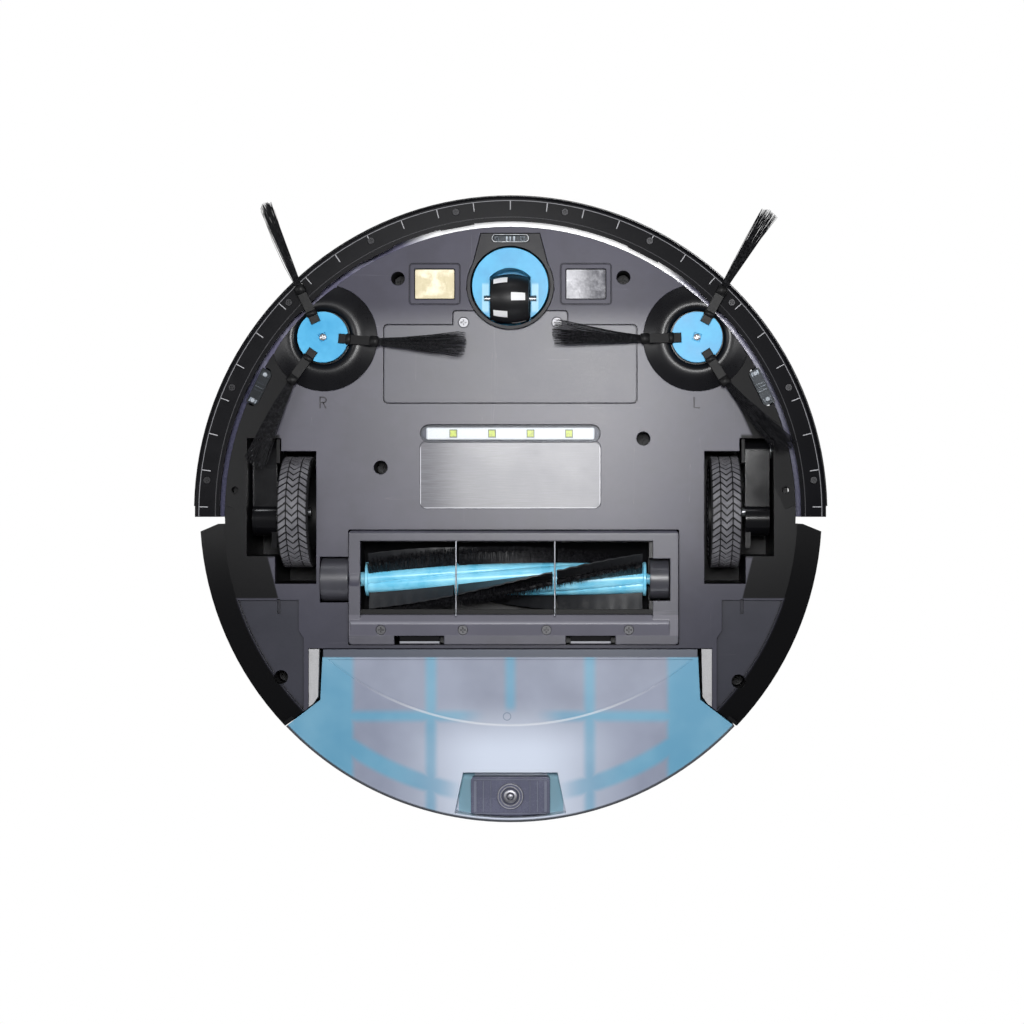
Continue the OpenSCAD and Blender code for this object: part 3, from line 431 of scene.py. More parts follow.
def frosted_material():
    """The dust bin: frosted plastic, with the blue frame behind its floor showing as blurred ribs."""
    s = Shader("frosted_plastic")
    x, y, z = s.xyz()
    across = s.abs(x)
    r = s.radius()
    cloud = s.noise(26.0, 3.0, 0.55)
    fine = s.noise(2400.0, 3.0, 0.65)
    soft = 0.0022
    ribs = s.either(
        s.band(across, 0.0408, 0.0465, soft),
        s.both(s.band(across, -0.01, 0.0026, soft), s.below(y, 0.106, 0.112)),
        s.smooth(across, 0.0845, 0.0885),
        s.math("MULTIPLY", s.band(y, 0.1095, 0.1150, soft), s.smooth(across, 0.012, 0.030)),
    )
    # the outer band of the frame follows the rim and fades towards the latch
    rim = s.math("MULTIPLY", s.band(r, 0.1515, 0.1605, 0.0018), s.smooth(across, 0.022, 0.040))
    ribs = s.either(ribs, rim)
    pale = s.both(s.smooth(y, 0.100, 0.134), s.below(across, 0.010, 0.075))
    window = s.mix(s.smooth(cloud, 0.3, 0.7), (0.235, 0.260, 0.345), (0.300, 0.330, 0.430))
    window = s.mix(pale, window, (0.66, 0.72, 0.84))
    tint = s.mix(s.smooth(cloud, 0.35, 0.7), (0.10, 0.33, 0.50), (0.16, 0.40, 0.56))
    depth = s.math("MULTIPLY", ribs, s.math("SUBTRACT", 0.92, s.math("MULTIPLY", pale, 0.55)))
    base = s.mix(depth, window, tint)
    # the curved step in the floor, with a pale line along its edge
    step = s.radius(0.0, -0.0412)
    inner = s.below(step, 0.1565, 0.1582)
    base = s.over(base, (0.55, 0.58, 0.64), inner, 0.10)
    middle = s.below(across, 0.040, 0.088)
    line = s.both(s.band(step, 0.1579, 0.1590, 0.0003), middle)
    base = s.over(base, (0.80, 0.82, 0.85), line, 0.55)
    # the sprue mark on the floor
    gate = s.both(s.band(s.radius(-0.0018, 0.1125), 0.0018, 0.0023, 0.0001), s.below(z, 0.0130, 0.0140))
    base = s.over(base, (0.10, 0.16, 0.22), gate, 0.6)
    # painted shade: darker along the bin's outer edge, next to the gap
    base = s.mix(s.smooth(r, 0.1688, 0.1697), base, (0.030, 0.032, 0.040))
    # the hollow round the latch lets the blue frame show
    hollow = s.both(
        s.band(across, 0.0200, 0.0290, 0.0003), s.smooth(y, 0.1440, 0.1450),
        s.band(z, 0.0126, 0.0236, 0.0002),
    )
    hollow = s.both(hollow, s.below(r, 0.1680, 0.1688))
    base = s.over(base, (0.16, 0.42, 0.52), hollow, 0.75)
    lip = s.below(y, 0.0796, 0.0802)
    base = s.mix(lip, base, (0.075, 0.085, 0.115))
    normal = s.relief(fine, 0.015, 0.5)
    body = s.principled(base_color=base, roughness=0.33, normal=normal, specular_ior_level=0.5)
    clear = s.node("BsdfTransparent", {0: (0.80, 0.86, 0.92)})
    return s.done(s.node("MixShader", {0: 0.85, 1: clear.outputs[0], 2: body.outputs[0]}))


def screw_material():
    """Dark screws deep in the bosses, bright ones in the battery cover."""
    s = Shader("screw_steel")
    _, y, _ = s.xyz()
    near = s.band(y, -0.1075, -0.1010, 0.0005)
    fine = s.noise(2600.0, 3.0, 0.7)
    bright = s.mix(fine, (0.16, 0.16, 0.17), (0.36, 0.36, 0.38))
    base = s.mix(near, (0.006, 0.006, 0.0065), bright)
    # painted shade: darker in the recesses of the heads
    base = s.mix(s.crevice(0.8 * MM), (0.004, 0.004, 0.004), base)
    normal = s.relief(fine, 0.01, 0.2)
    return s.surface(base, 0.45, normal, metallic=0.75)


def label_material():
    """A blank silver label with a brushed grain and a soft sheen."""
    s = Shader("label_foil")
    lines = s.noise(3600.0, 3.0, 0.7, (0.02, 1, 1))
    cloud = s.noise(30.0, 3.0, 0.6)
    base = s.mix(s.smooth(cloud, 0.35, 0.68), (0.085, 0.085, 0.10), (0.125, 0.125, 0.145))
    base = s.mix(s.smooth(lines, 0.4, 0.7), base, (0.15, 0.15, 0.175))
    x, y, _ = s.xyz()
    side = s.smooth(s.abs(x), 0.04905, 0.04920)
    foot = s.smooth(y, -0.00255, -0.00240)
    base = s.over(base, (0.60, 0.60, 0.66), s.either(side, foot), 0.8)
    rough = s.math("ADD", s.remap(cloud, 0.35, 0.68, 0.31, 0.37), s.remap(lines, 0.3, 0.7, -0.02, 0.02))
    sheen = s.math("MULTIPLY", s.level(s.smooth(x, -0.048, -0.022), 0.42, 1.0), 0.78)
    normal = s.relief(lines, 0.004, 0.1)
    return s.surface(base, rough, normal, specular_ior_level=sheen)


def contact_material():
    """Charging contacts: one worn to pale gold, the other bare nickel, both smudged."""
    s = Shader("contact_metal")
    x, _, _ = s.xyz()
    smudge = s.smooth(s.noise(130.0, 4.0, 0.62), 0.42, 0.66)
    fine = s.noise(900.0, 3.0, 0.6)
    gold = s.mix(smudge, (0.52, 0.46, 0.30), (0.68, 0.62, 0.47))
    nickel = s.mix(s.smooth(x, 0.033, 0.051), (0.28, 0.28, 0.295), (0.050, 0.050, 0.058))
    nickel = s.over(nickel, (0.23, 0.23, 0.24), smudge, 0.3)
    base = s.mix(s.smooth(x, -0.001, 0.001), gold, nickel)
    metal = s.level(s.smooth(x, -0.001, 0.001), 0.30, 0.80)
    rough = s.math("ADD", s.remap(fine, 0.3, 0.7, 0.46, 0.58), s.math("MULTIPLY", smudge, -0.06))
    normal = s.relief(fine, 0.006, 0.3)
    return s.surface(base, rough, normal, metallic=metal)


def board_material():
    """White strip board with a yellow-green chip in each dark frame, painted shade along its edges and a
    faint painted glow.
    """
    s = Shader("board_white")
    x, y, z = s.xyz()
    chip = 0.0
    for cx in LED_X:
        off = s.abs(s.math("SUBTRACT", x, cx * MM))
        up = s.abs(s.math("SUBTRACT", y, LED_Y * MM))
        reach = s.math("MAXIMUM", off, up)
        chip = s.math("MAXIMUM", s.below(reach, 0.00160, 0.00172), chip)
    low = s.below(z, 0.01362, 0.01366)
    end = s.smooth(s.abs(x), 0.0455, 0.0458)
    side = s.smooth(s.abs(s.math("SUBTRACT", y, LED_Y * MM)), 0.0027, 0.0029)
    fine = s.noise(1500.0, 3.0, 0.6)
    die = s.smooth(s.noise(620.0, 1.0, 0.5), 0.52, 0.60)
    base = s.mix(s.smooth(fine, 0.3, 0.7), (0.86, 0.87, 0.86), (0.95, 0.96, 0.95))
    # painted shade: dark lines along the board's ends and sides
    base = s.over(base, (0.25, 0.25, 0.27), s.either(end, side), 0.6)
    base = s.mix(low, base, (0.16, 0.18, 0.07))
    yellow = s.mix(fine, (0.66, 0.76, 0.03), (0.84, 0.92, 0.12))
    yellow = s.over(yellow, (0.40, 0.42, 0.08), die, 0.45)
    base = s.mix(s.both(chip, low), base, yellow)
    # painted light: the white board glows faintly, though it is no lamp
    painted_glow = s.math("MULTIPLY", s.math("SUBTRACT", 1.0, low), 0.22)
    normal = s.relief(fine, 0.01, 0.15)
    return s.surface(base, 0.35, normal, emission_color=(1.0, 1.0, 1.0), emission_strength=painted_glow)


def circuit_material():
    """A green circuit board with traces, and black components on it."""
    s = Shader("board_green")
    _, _, z = s.xyz()
    bricks = {"Vector": s.place(), "Scale": 160.0, "Mortar Size": 0.035, "Mortar Smooth": 0.2}
    traces = s.node("TexBrick", bricks).outputs["Fac"]
    fine = s.noise(1800.0, 3.0, 0.6)
    base = s.over((0.012, 0.10, 0.035), (0.05, 0.26, 0.10), traces, 0.7)
    base = s.mix(s.smooth(z, 0.0636, 0.0638), base, (0.01, 0.01, 0.012))
    normal = s.relief(fine, 0.01, 0.2)
    return s.surface(base, 0.3, normal)


def filter_material():
    """Pleated paper: ridges across the bin, with painted shade in the folds between them."""
    s = Shader("filter_media")
    x, _, _ = s.xyz()
    pleat = s.abs(s.math("SINE", s.math("MULTIPLY", x, math.pi / 0.0032)))
    fibre = s.noise(1300.0, 4.0, 0.7)
    # painted shade: darker in the folds of the pleats
    base = s.mix(pleat, (0.50, 0.49, 0.48), (0.80, 0.79, 0.78))
    base = s.over(base, (0.40, 0.39, 0.38), fibre, 0.25)
    normal = s.bump(s.math("ADD", pleat, s.math("MULTIPLY", fibre, 0.15)), 0.8 * MM, 1.0)
    return s.surface(base, 0.9, normal)


def panel_material():
    """Top panel: satin, with a fine turned grain."""
    s = Shader("panel_plastic")
    r = s.radius()
    turned_grain = {"W": s.math("MULTIPLY", r, 1300.0), "Scale": 1.0, "Detail": 2.0}
    rings = s.node("TexNoise", turned_grain, noise_dimensions="1D").outputs[0]
    cloud = s.noise(22.0, 3.0, 0.6)
    base = s.mix(s.smooth(rings, 0.3, 0.7), (0.029, 0.030, 0.036), (0.036, 0.038, 0.045))
    base = s.mix(s.band(r, 0.1098, 0.1108, 0.0002), base, (0.45, 0.46, 0.48))
    rough = s.remap(cloud, 0.3, 0.7, 0.24, 0.34)
    normal = s.relief(rings, 0.0015, 0.25, 0.6)
    return s.surface(base, rough, normal)


def battery_material():
    """Creased blue wrap round the battery's cells, painted darker in the hollows of its creases as shade."""
    s = Shader("battery_wrap")
    creases = s.noise(90.0, 5.0, 0.6, (1.0, 0.3, 1.0))
    fine = s.noise(1500.0, 3.0, 0.6)
    # painted shade: darker where the creases are low
    base = s.mix(s.smooth(creases, 0.35, 0.7), (0.018, 0.10, 0.36), (0.05, 0.21, 0.55))
    normal = s.relief(s.math("ADD", creases, s.math("MULTIPLY", fine, 0.02)), 0.5, 0.8, 0.8)
    return s.surface(base, 0.2, normal, coat_weight=0.4)


def blue_material(name, dark, light, roughness=0.32, edge=0.45, specular=0.22):
    """Glossy sky-blue plastic with flow marks."""
    s = Shader(name)
    cloud = s.noise(70.0, 3.0, 0.55)
    fine = s.noise(1900.0, 3.0, 0.6)
    base = s.mix(s.smooth(cloud, 0.3, 0.72), dark, light)
    # painted highlight: paler blue round the ends of the caster's axle, standing in for lit bosses there
    x, y, _ = s.xyz()
    ear_highlights = s.both(s.band(s.abs(x), 0.0118, 0.0155, 0.0003), s.band(y, -0.1255, -0.1100, 0.0010))
    base = s.over(base, (0.50, 0.82, 0.95), ear_highlights, 0.6)
    rough = s.remap(cloud, 0.3, 0.7, roughness - 0.05, roughness + 0.05)
    normal = s.relief(fine, 0.008, edge)
    return s.surface(base, rough, normal, specular_ior_level=specular)


def bristle_material():
    """Black nylon with a silky sheen that varies along the strands."""
    s = Shader("bristle_nylon")
    tone = s.noise(700.0, 3.0, 0.7)
    base = s.mix(s.smooth(tone, 0.38, 0.74), (0.003, 0.003, 0.004), (0.024, 0.024, 0.027))
    return s.done(s.principled(
        base_color=base, roughness=s.remap(tone, 0.3, 0.7, 0.34, 0.50), specular_ior_level=0.18,
    ))


def tyre_material():
    """Worn grey rubber, with painted shade in the grooves of the tread."""
    s = Shader("tyre_rubber")
    _, y, z = s.xyz()
    # distance from the axle at rest
    up = s.math("SUBTRACT", z, WHEEL_R * MM)
    r = s.length(y, up)
    top = s.smooth(r, 0.03035, 0.03085)
    fine = s.noise(1700.0, 4.0, 0.7)
    worn = s.smooth(s.noise(150.0, 5.0, 0.65), 0.35, 0.70)
    rubber = s.mix(worn, (0.112, 0.110, 0.124), (0.195, 0.193, 0.210))
    rubber = s.over(rubber, (0.035, 0.035, 0.038), fine, 0.3)
    # painted shade: near-black in the grooves
    base = s.mix(top, (0.011, 0.011, 0.012), rubber)
    normal = s.relief(fine, 0.03, 0.15)
    return s.surface(base, s.remap(fine, 0.3, 0.7, 0.52, 0.66), normal, specular_ior_level=0.35)


def rubber_material(name, colour, roughness=0.62, specular=0.5, dusty=0.22):
    """Soft rubber or foam with a fine grain and some dust."""
    s = Shader(name)
    fine = s.noise(1700.0, 4.0, 0.7)
    dust = s.smooth(s.noise(120.0, 5.0, 0.65), 0.52, 0.74)
    base = s.mix(s.smooth(fine, 0.3, 0.75), tuple(c * 0.78 for c in colour), colour)
    base = s.mix(s.math("MULTIPLY", dust, dusty), base, (0.16, 0.155, 0.15))
    rough = s.remap(fine, 0.3, 0.7, roughness - 0.06, roughness + 0.08)
    normal = s.relief(fine, 0.03, 0.3)
    return s.surface(base, rough, normal, specular_ior_level=specular)


MATERIAL = {}


def paint(key, material, *nodes):
    """Keeps a material under a short key, and puts it on CAD nodes."""
    MATERIAL[key] = material
    for name in nodes:
        data = frame["nodes"][name].data
        data.materials.clear()
        data.materials.append(material)


paint(
    "chassis",
    moulded(
        "chassis_plastic", (0.053, 0.051, 0.074), 0.36, grain=0.020, grain_scale=1000, marks=chassis_scratches_and_shade,
        gaps=1.8, edge=0.5, shine=chassis_shine, drift=0.010,
    ),
    "bottom_chassis",
)
paint(
    "guard",
    moulded(
        "guard_plastic", (0.053, 0.052, 0.072), 0.37, grain=0.020, grain_scale=1000, marks=guard_scratches_and_painted_light,
        edge=0.9, shine=guard_shine, drift=0.012,
    ),
    "battery_cover", "guard_frame",
)
paint(
    "cover",
    moulded(
        "cover_plastic", (0.010, 0.010, 0.012), 0.16, grain=0.002, mottle=0.12, coat=0.5, edge=0.8, gaps=0,
    ),
    "top_cover",
)
paint("panel", panel_material(), "top_panel")
paint(
    "button",
    moulded("button_plastic", (0.50, 0.51, 0.54), 0.28, grain=0.004, coat=0.3, metallic=0.4, edge=0.5),
    "power_button",
)
paint(
    "black", moulded("black_plastic", (0.0075, 0.0075, 0.0085), 0.36, specular=0.32), "brush_housing",
    "fan_housing", "bin_lid", "bin_latch_button",
)
paint(
    "drive", moulded("drive_plastic", (0.055, 0.055, 0.066), 0.34, edge=1.2, gaps=0), "brush_drive_box",
    "brush_bearing",
)
paint("socket", moulded("socket_plastic", (0.010, 0.010, 0.013), 0.38, specular=0.18), "caster_socket")
paint(
    "dome", moulded("dome_plastic", (0.0070, 0.0070, 0.0085), 0.30, grain=0.003, gaps=0, specular=0.26),
    "side_brush_domes",
)
paint(
    "bumper",
    moulded(
        "bumper_plastic", (0.0050, 0.0050, 0.0064), 0.30, grain=0.008, specular=0.07, marks=bumper_painted_highlights,
        gaps=0.9, shine=bumper_shine,
    ),
    "bumper_shell",
)
paint(
    "gloss", moulded("gloss_black", (0.005, 0.005, 0.006), 0.16, grain=0.002, coat=0.2, gaps=0),
    "wheel_arm_left", "wheel_arm_right", "bumper_skin",
)
paint("window", window_material(), "bumper_window")
paint(
    "wheel",
    moulded("wheel_plastic", (0.008, 0.008, 0.009), 0.42, grain=0.006, specular=0.3, marks=wheel_patches),
    "wheel_rim_left", "wheel_rim_right", "caster_wheel",
)
paint("tyre", tyre_material())
paint(
    "blue", blue_material("blue_plastic", (0.045, 0.34, 0.62), (0.095, 0.47, 0.76)), "side_brush_hub_left",
    "side_brush_hub_right", "caster_swivel", "fan_impeller",
)
paint("roller_blue", blue_material("roller_blue", (0.14, 0.54, 0.78), (0.30, 0.72, 0.91), 0.30, 0.3, 0.5))
paint("bin_blue", blue_material("frame_blue", (0.02, 0.36, 0.52), (0.05, 0.46, 0.62), 0.4), "bin_frame")
paint(
    "rubber", rubber_material("soft_rubber", (0.0060, 0.0060, 0.0066), 0.40, 0.16, 0.03),
    "side_brush_arms_left", "side_brush_arms_right", "guard_scraper",
)
paint("blade", rubber_material("blade_rubber", (0.018, 0.019, 0.022), 0.45, 0.35, 0.10))
paint("bristle", bristle_material())
paint("steel", brushed("steel", (0.50, 0.51, 0.53), 0.34), "caster_axle", "wheel_pivot_pins")
paint("wire", brushed("wire_steel", (0.33, 0.34, 0.37), 0.42, "y"), "guard_wires")
paint("screw", screw_material(), "underside_screws")
paint(
    "guard_screw",
    moulded("guard_screw_steel", (0.075, 0.075, 0.08), 0.38, metallic=0.7, gaps=1.0, edge=0.15),
    "guard_screws",
)
paint(
    "bumper_screw",
    moulded("bumper_screw_steel", (0.022, 0.022, 0.024), 0.40, metallic=0.7, gaps=0.9, edge=0.15),
    "bumper_screws",
)
paint(
    "motor", brushed("motor_steel", (0.46, 0.47, 0.49), 0.3, "z"), "side_brush_motors", "brush_motor",
    "wheel_motor_left", "wheel_motor_right",
)
paint("contact", contact_material(), "charge_contacts")
paint("label", label_material(), "rating_label")
paint("lens", glass_material("lens_plastic", (0.96, 0.98, 1.0), 0.03, specular=0.3), "cliff_windows")
paint(
    "light_cover", glass_material("light_cover_plastic", (0.97, 0.98, 1.0), 0.02, specular=0.04),
    "light_lens",
)
paint("board", board_material(), "light_board")
paint("circuit", circuit_material(), "main_board")
paint("battery", battery_material(), "battery_pack")
paint("frosted", frosted_material(), "bin_shell")
paint("filter", filter_material(), "bin_filter")
paint("pad", rubber_material("pad_foam", (0.46, 0.46, 0.47), 0.85), "bin_seat_pads")
paint("latch", moulded("latch_plastic", (0.095, 0.100, 0.150), 0.26, grain=0.004, edge=0.7), "bin_latch")
paint("rib", moulded("latch_rib", (0.15, 0.16, 0.21), 0.4, grain=0.004, specular=0.2))
paint(
    "white", moulded("white_mark", (0.80, 0.80, 0.81), 0.45, grain=0.004, mottle=0.03, gaps=0, specular=0.2),
)
paint("ring", brushed("ring_steel", (0.34, 0.34, 0.37), 0.42))
paint("lamp", moulded("lamp_plastic", (0.58, 0.60, 0.63), 0.2, grain=0.004, gaps=0.6))
paint("mark", moulded("pale_mark", (0.022, 0.02, 0.028), 0.5, grain=0.004, mottle=0.03, gaps=0))


# ---------- mesh building ----------


def placed(name, data):
    """A new object in the scene."""
    obj = bpy.data.objects.new(name, data)
    bpy.context.scene.collection.objects.link(obj)
    return obj


def piece(name, soup, material, body, replaces=(), smooth=True):
    """Makes a mesh of a soup, which is in millimetres, and lets it ride on a body."""
    mesh = bpy.data.meshes.new(name)
    verts = [tuple(float(c) * MM for c in v) for v in soup.verts]
    mesh.from_pydata(verts, [], soup.faces)
    mesh.update()
    mesh.materials.append(MATERIAL[material])
    if smooth:
        mesh.shade_smooth()
    obj = placed(name, mesh)
    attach(obj, body)
    if replaces:
        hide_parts(*replaces)
    return obj


def sharpen(obj, degrees):
    """Keeps edges sharper than the angle crisp under smooth shading."""
    obj.data.set_sharp_from_angle(angle=math.radians(degrees))
    return obj


class Soup:
    """Collects several shapes into one mesh."""

    def __init__(self):
        self.verts, self.faces = [], []

    def add(self, verts, faces):
        start = len(self.verts)
        self.verts += [tuple(v) for v in verts]
        self.faces += [tuple(int(i) + start for i in f) for f in faces]

    def prism(self, outline, low, high):
        """A closed outline in X and Y, drawn up from low to high."""
        n = len(outline)
        verts = [(x, y, low) for x, y in outline] + [(x, y, high) for x, y in outline]
        faces = [tuple(range(n))[::-1], tuple(range(n, 2 * n))]
        faces += [(i, (i + 1) % n, n + (i + 1) % n, n + i) for i in range(n)]
        self.add(verts, faces)

    def grid(self, points, close_u=False, close_v=False):
        """points is rows of points; neighbouring rows are joined by quads."""
        nu, nv = len(points), len(points[0])
        faces = []
        for i in range(nu if close_u else nu - 1):
            for j in range(nv if close_v else nv - 1):
                a, b = i * nv + j, i * nv + (j + 1) % nv
                c, d = ((i + 1) % nu) * nv + (j + 1) % nv, ((i + 1) % nu) * nv + j
                faces.append((a, b, c, d))
        self.add([p for row in points for p in row], faces)

    def bar(self, rows, close_v=False):
        """A grid with a face across its first row and its last."""
        self.grid(rows, close_v=close_v)
        end, n = len(self.verts), len(rows[0])
        start = end - len(rows) * n
        self.faces.append(tuple(range(end - n, end)))
        self.faces.append(tuple(range(start, start + n))[::-1])


def strands(paths, radius, tip=0.5):
    """Thin three-sided tubes along paths, an array of strand, point and X Y Z."""
    count, steps, _ = paths.shape
    along = paths[:, -1] - paths[:, 0]
    along /= np.linalg.norm(along, axis=1)[:, None]
    helper = np.where(np.abs(along[:, 2:3]) < 0.9, np.array([[0.0, 0.0, 1.0]]), np.array([[1.0, 0.0, 0.0]]))
    u = np.cross(along, helper)
    u /= np.linalg.norm(u, axis=1)[:, None]
    w = np.cross(along, u)
    taper = np.linspace(1.0, tip, steps)
    rings = []
    for k in range(3):
        a = 2 * math.pi * k / 3
        side = math.cos(a) * u + math.sin(a) * w
        rings.append(paths + radius * taper[None, :, None] * side[:, None, :])
    verts = np.stack(rings, axis=2).reshape(-1, 3)
    faces = []
    for i in range(count):
        base = i * steps * 3
        for j in range(steps - 1):
            for k in range(3):
                a, b = base + j * 3 + k, base + j * 3 + (k + 1) % 3
                faces.append((a, b, b + 3, a + 3))
        end = base + (steps - 1) * 3
        faces.append((end, end + 1, end + 2))
        faces.append((base + 2, base + 1, base))
    return verts, faces


def coil(soup, centre, axis, radius, wire, turns, length, sides=8, per_turn=20):
    """A helical spring: centre is its middle, axis is "x", "y" or "z"."""
    rows = []
    n = int(turns * per_turn)
    for i in range(n + 1):
        t = i / n
        a = 2 * math.pi * turns * t
        row = []
        for k in range(sides):
            b = 2 * math.pi * k / sides
            reach = radius + wire * math.cos(b)
            p = [reach * math.cos(a), reach * math.sin(a), (t - 0.5) * length + wire * math.sin(b)]
            if axis == "x":
                p = [p[2], p[0], p[1]]
            elif axis == "y":
                p = [p[1], p[2], p[0]]
            row.append([middle + offset for middle, offset in zip(centre, p)])
        rows.append(row)
    soup.grid(rows, close_v=True)


def phillips(soup, x, y, z, radius, height, turn=0.0):
    """A domed screw head seen from below, with a cross recess. z is its lowest point."""
    bm = bmesh.new()
    around = np.linspace(0, 2 * math.pi, 28, endpoint=False)
    rim = [bm.verts.new((radius * math.cos(a), radius * math.sin(a), 0.28 * height)) for a in around]
    arm, half = radius * 0.62, radius * 0.17
    corners = []
    for k in range(4):
        a = turn + k * math.pi / 2
        c, s = math.cos(a), math.sin(a)
        for p, q in ((arm, -half), (arm, half), (half, half)):
            corners.append((p * c - q * s, p * s + q * c))
    cross = [bm.verts.new((p, q, 0.0)) for p, q in corners]
    for ring in (rim, cross):
        for i in range(len(ring)):
            bm.edges.new((ring[i], ring[(i + 1) % len(ring)]))
    bmesh.ops.triangle_fill(bm, use_beauty=True, edges=list(bm.edges))
    # the fill also closes the cross: open it again
    inside = set(cross)
    for f in [f for f in bm.faces if all(v in inside for v in f.verts)]:
        bm.faces.remove(f)
    floor = [bm.verts.new((v.co.x * 0.55, v.co.y * 0.55, 0.55 * height)) for v in cross]
    skirt = [bm.verts.new((v.co.x, v.co.y, height)) for v in rim]
    for upper, lower in ((cross, floor), (rim, skirt)):
        for i in range(len(upper)):
            j = (i + 1) % len(upper)
            bm.faces.new((upper[i], upper[j], lower[j], lower[i]))
        bm.faces.new(lower)
    bmesh.ops.recalc_face_normals(bm, faces=list(bm.faces))
    bm.verts.index_update()
    verts = [(v.co.x + x, v.co.y + y, v.co.z + z) for v in bm.verts]
    soup.add(verts, [tuple(v.index for v in f.verts) for f in bm.faces])
    bm.free()


def turned(soup, profile, axis_point, axis="z", sides=48):
    """A profile of (radius, height) turned round an axis through a point."""
    rows = []
    for r, h in profile:
        row = []
        for k in range(sides):
            a = 2 * math.pi * k / sides
            p = [r * math.cos(a), r * math.sin(a), h]
            if axis == "x":
                p = [p[2], p[0], p[1]]
            row.append([start + offset for start, offset in zip(axis_point, p)])
        rows.append(row)
    soup.grid(rows, close_v=True)


# ---------- tyres with a chevron tread ----------


def tyre(side):
    """48 chevrons round each tyre, in three lanes parted by narrow grooves."""
    pitches, depth = 48, 1.0
    # half a section: place across the tyre, radius, and how far the chevron runs ahead there
    half = [
        (0.0, WHEEL_R, 1.5), (2.95, WHEEL_R, -1.3), (3.15, 30.2, -1.4), (3.5, 30.2, -1.4),
        (3.7, WHEEL_R, -1.3), (7.3, WHEEL_R, 1.4), (8.25, 29.9, 1.7), (8.25, 26.0, 1.7),
    ]
    across = [(-v, r, lean) for v, r, lean in half[:0:-1]] + half
    step = 2 * math.pi / pitches
    rows = []
    for k in range(pitches):
        for at, low in ((0.0, 0), (0.70, 0), (0.73, 1), (0.97, 1)):
            row = []
            for v, r, lean in across:
                a = (k + at) * step - lean / WHEEL_R
                r = r - depth if low and r > 29 else r
                row.append((side * (WHEEL_X + v), r * math.sin(a), WHEEL_R + r * math.cos(a)))
            rows.append(row)
    soup = Soup()
    soup.grid(rows if side < 0 else [row[::-1] for row in rows], close_u=True)
    name = "left" if side > 0 else "right"
    body = f"drive_wheel_{name}"
    sharpen(piece(f"tyre_{name}", soup, "tyre", body, [f"wheel_tyre_{name}"]), 28)


tyre(1)
tyre(-1)


# ---------- caster wheel's white patches ----------


def caster_patches():
    """Four white patches round each half of the wheel."""
    soup = Soup()
    for x0, x1, first in ((0.9, 8.6, 0), (-8.9, -1.2, 45)):
        for k in range(4):
            middle = math.radians(first + 90 * k)
            rows = []
            for t in np.linspace(-0.165, 0.165, 7):
                row = []
                for x in np.linspace(x0, x1, 7):
                    r = CASTER_R - 2 * (x / 10.5) ** 2
                    r = min(r + 0.05, CASTER_R - 0.001)
                    a = middle + t
                    row.append((x, CASTER_AXLE_Y + r * math.sin(a), CASTER_R - r * math.cos(a)))
                rows.append(row)
            soup.grid(rows)
    piece("caster_patches", soup, "white", "caster_roller")


caster_patches()


# ---------- roller brush ----------


def row_angle(x, first):
    """Angle of a winding row at a place along the roller; 0 points down and 90 to the rear."""
    span = ROLLER_X1 - ROLLER_X0 - 4
    return math.radians(first - ROW_TWIST * (x - ROLLER_X0 - 2) / span)


def on_roller(x, r, angle):
    """A point at a place along the roller, at a radius and an angle round it."""
    return (x, ROLLER_Y + r * math.sin(angle), ROLLER_Z - r * math.cos(angle))


def roller_core():
    """Fluted core with a collar at each end, and a shaft at both sides."""
    soup = Soup()
    rows = []
    for x in np.linspace(ROLLER_X0 + 1.6, ROLLER_X1 - 1.6, 120):
        row = []
        for k in range(120):
            a = 2 * math.pi * k / 120
            turn = math.degrees(a - row_angle(x, ROWS[0])) % 120
            lobe = abs(math.sin(math.pi * turn / 49)) ** 0.4 if turn < 98 else 0.0
            row.append(on_roller(x, 7.7 + 1.35 * lobe, a))
        rows.append(row)
    soup.grid([r[::-1] for r in rows], close_v=True)
    for start, end, inner in ((ROLLER_X0, ROLLER_X0 + 1.7, 7), (ROLLER_X1 - 1.7, ROLLER_X1, 7)):
        ring = [(inner, start), (9.2, start), (9.5, start + 0.3), (9.5, end - 0.3), (9.2, end), (inner, end)]
        turned(soup, ring, (0, ROLLER_Y, ROLLER_Z), "x", 64)
    driven = [(0.01, -98), (3.6, -98), (4, -97.6), (4, ROLLER_X0), (7, ROLLER_X0)]
    free = [(7, ROLLER_X1), (3, ROLLER_X1), (3, 82.6), (2.6, 83), (0.01, 83)]
    for shaft in (driven, free):
        turned(soup, shaft, (0, ROLLER_Y, ROLLER_Z), "x", 32)
    core = piece("roller_core", soup, "roller_blue", "main_brush", ["brush_core"])
    bm = bmesh.new()
    bm.from_mesh(core.data)
    bmesh.ops.recalc_face_normals(bm, faces=list(bm.faces))
    bm.to_mesh(core.data)
    bm.free()
    sharpen(core, 40)


def clear_of_wires(x):
    """Whether a bristle at this place passes beside the guard's wires."""
    return all(abs(x - w) > 1.1 for w in WIRE_X)


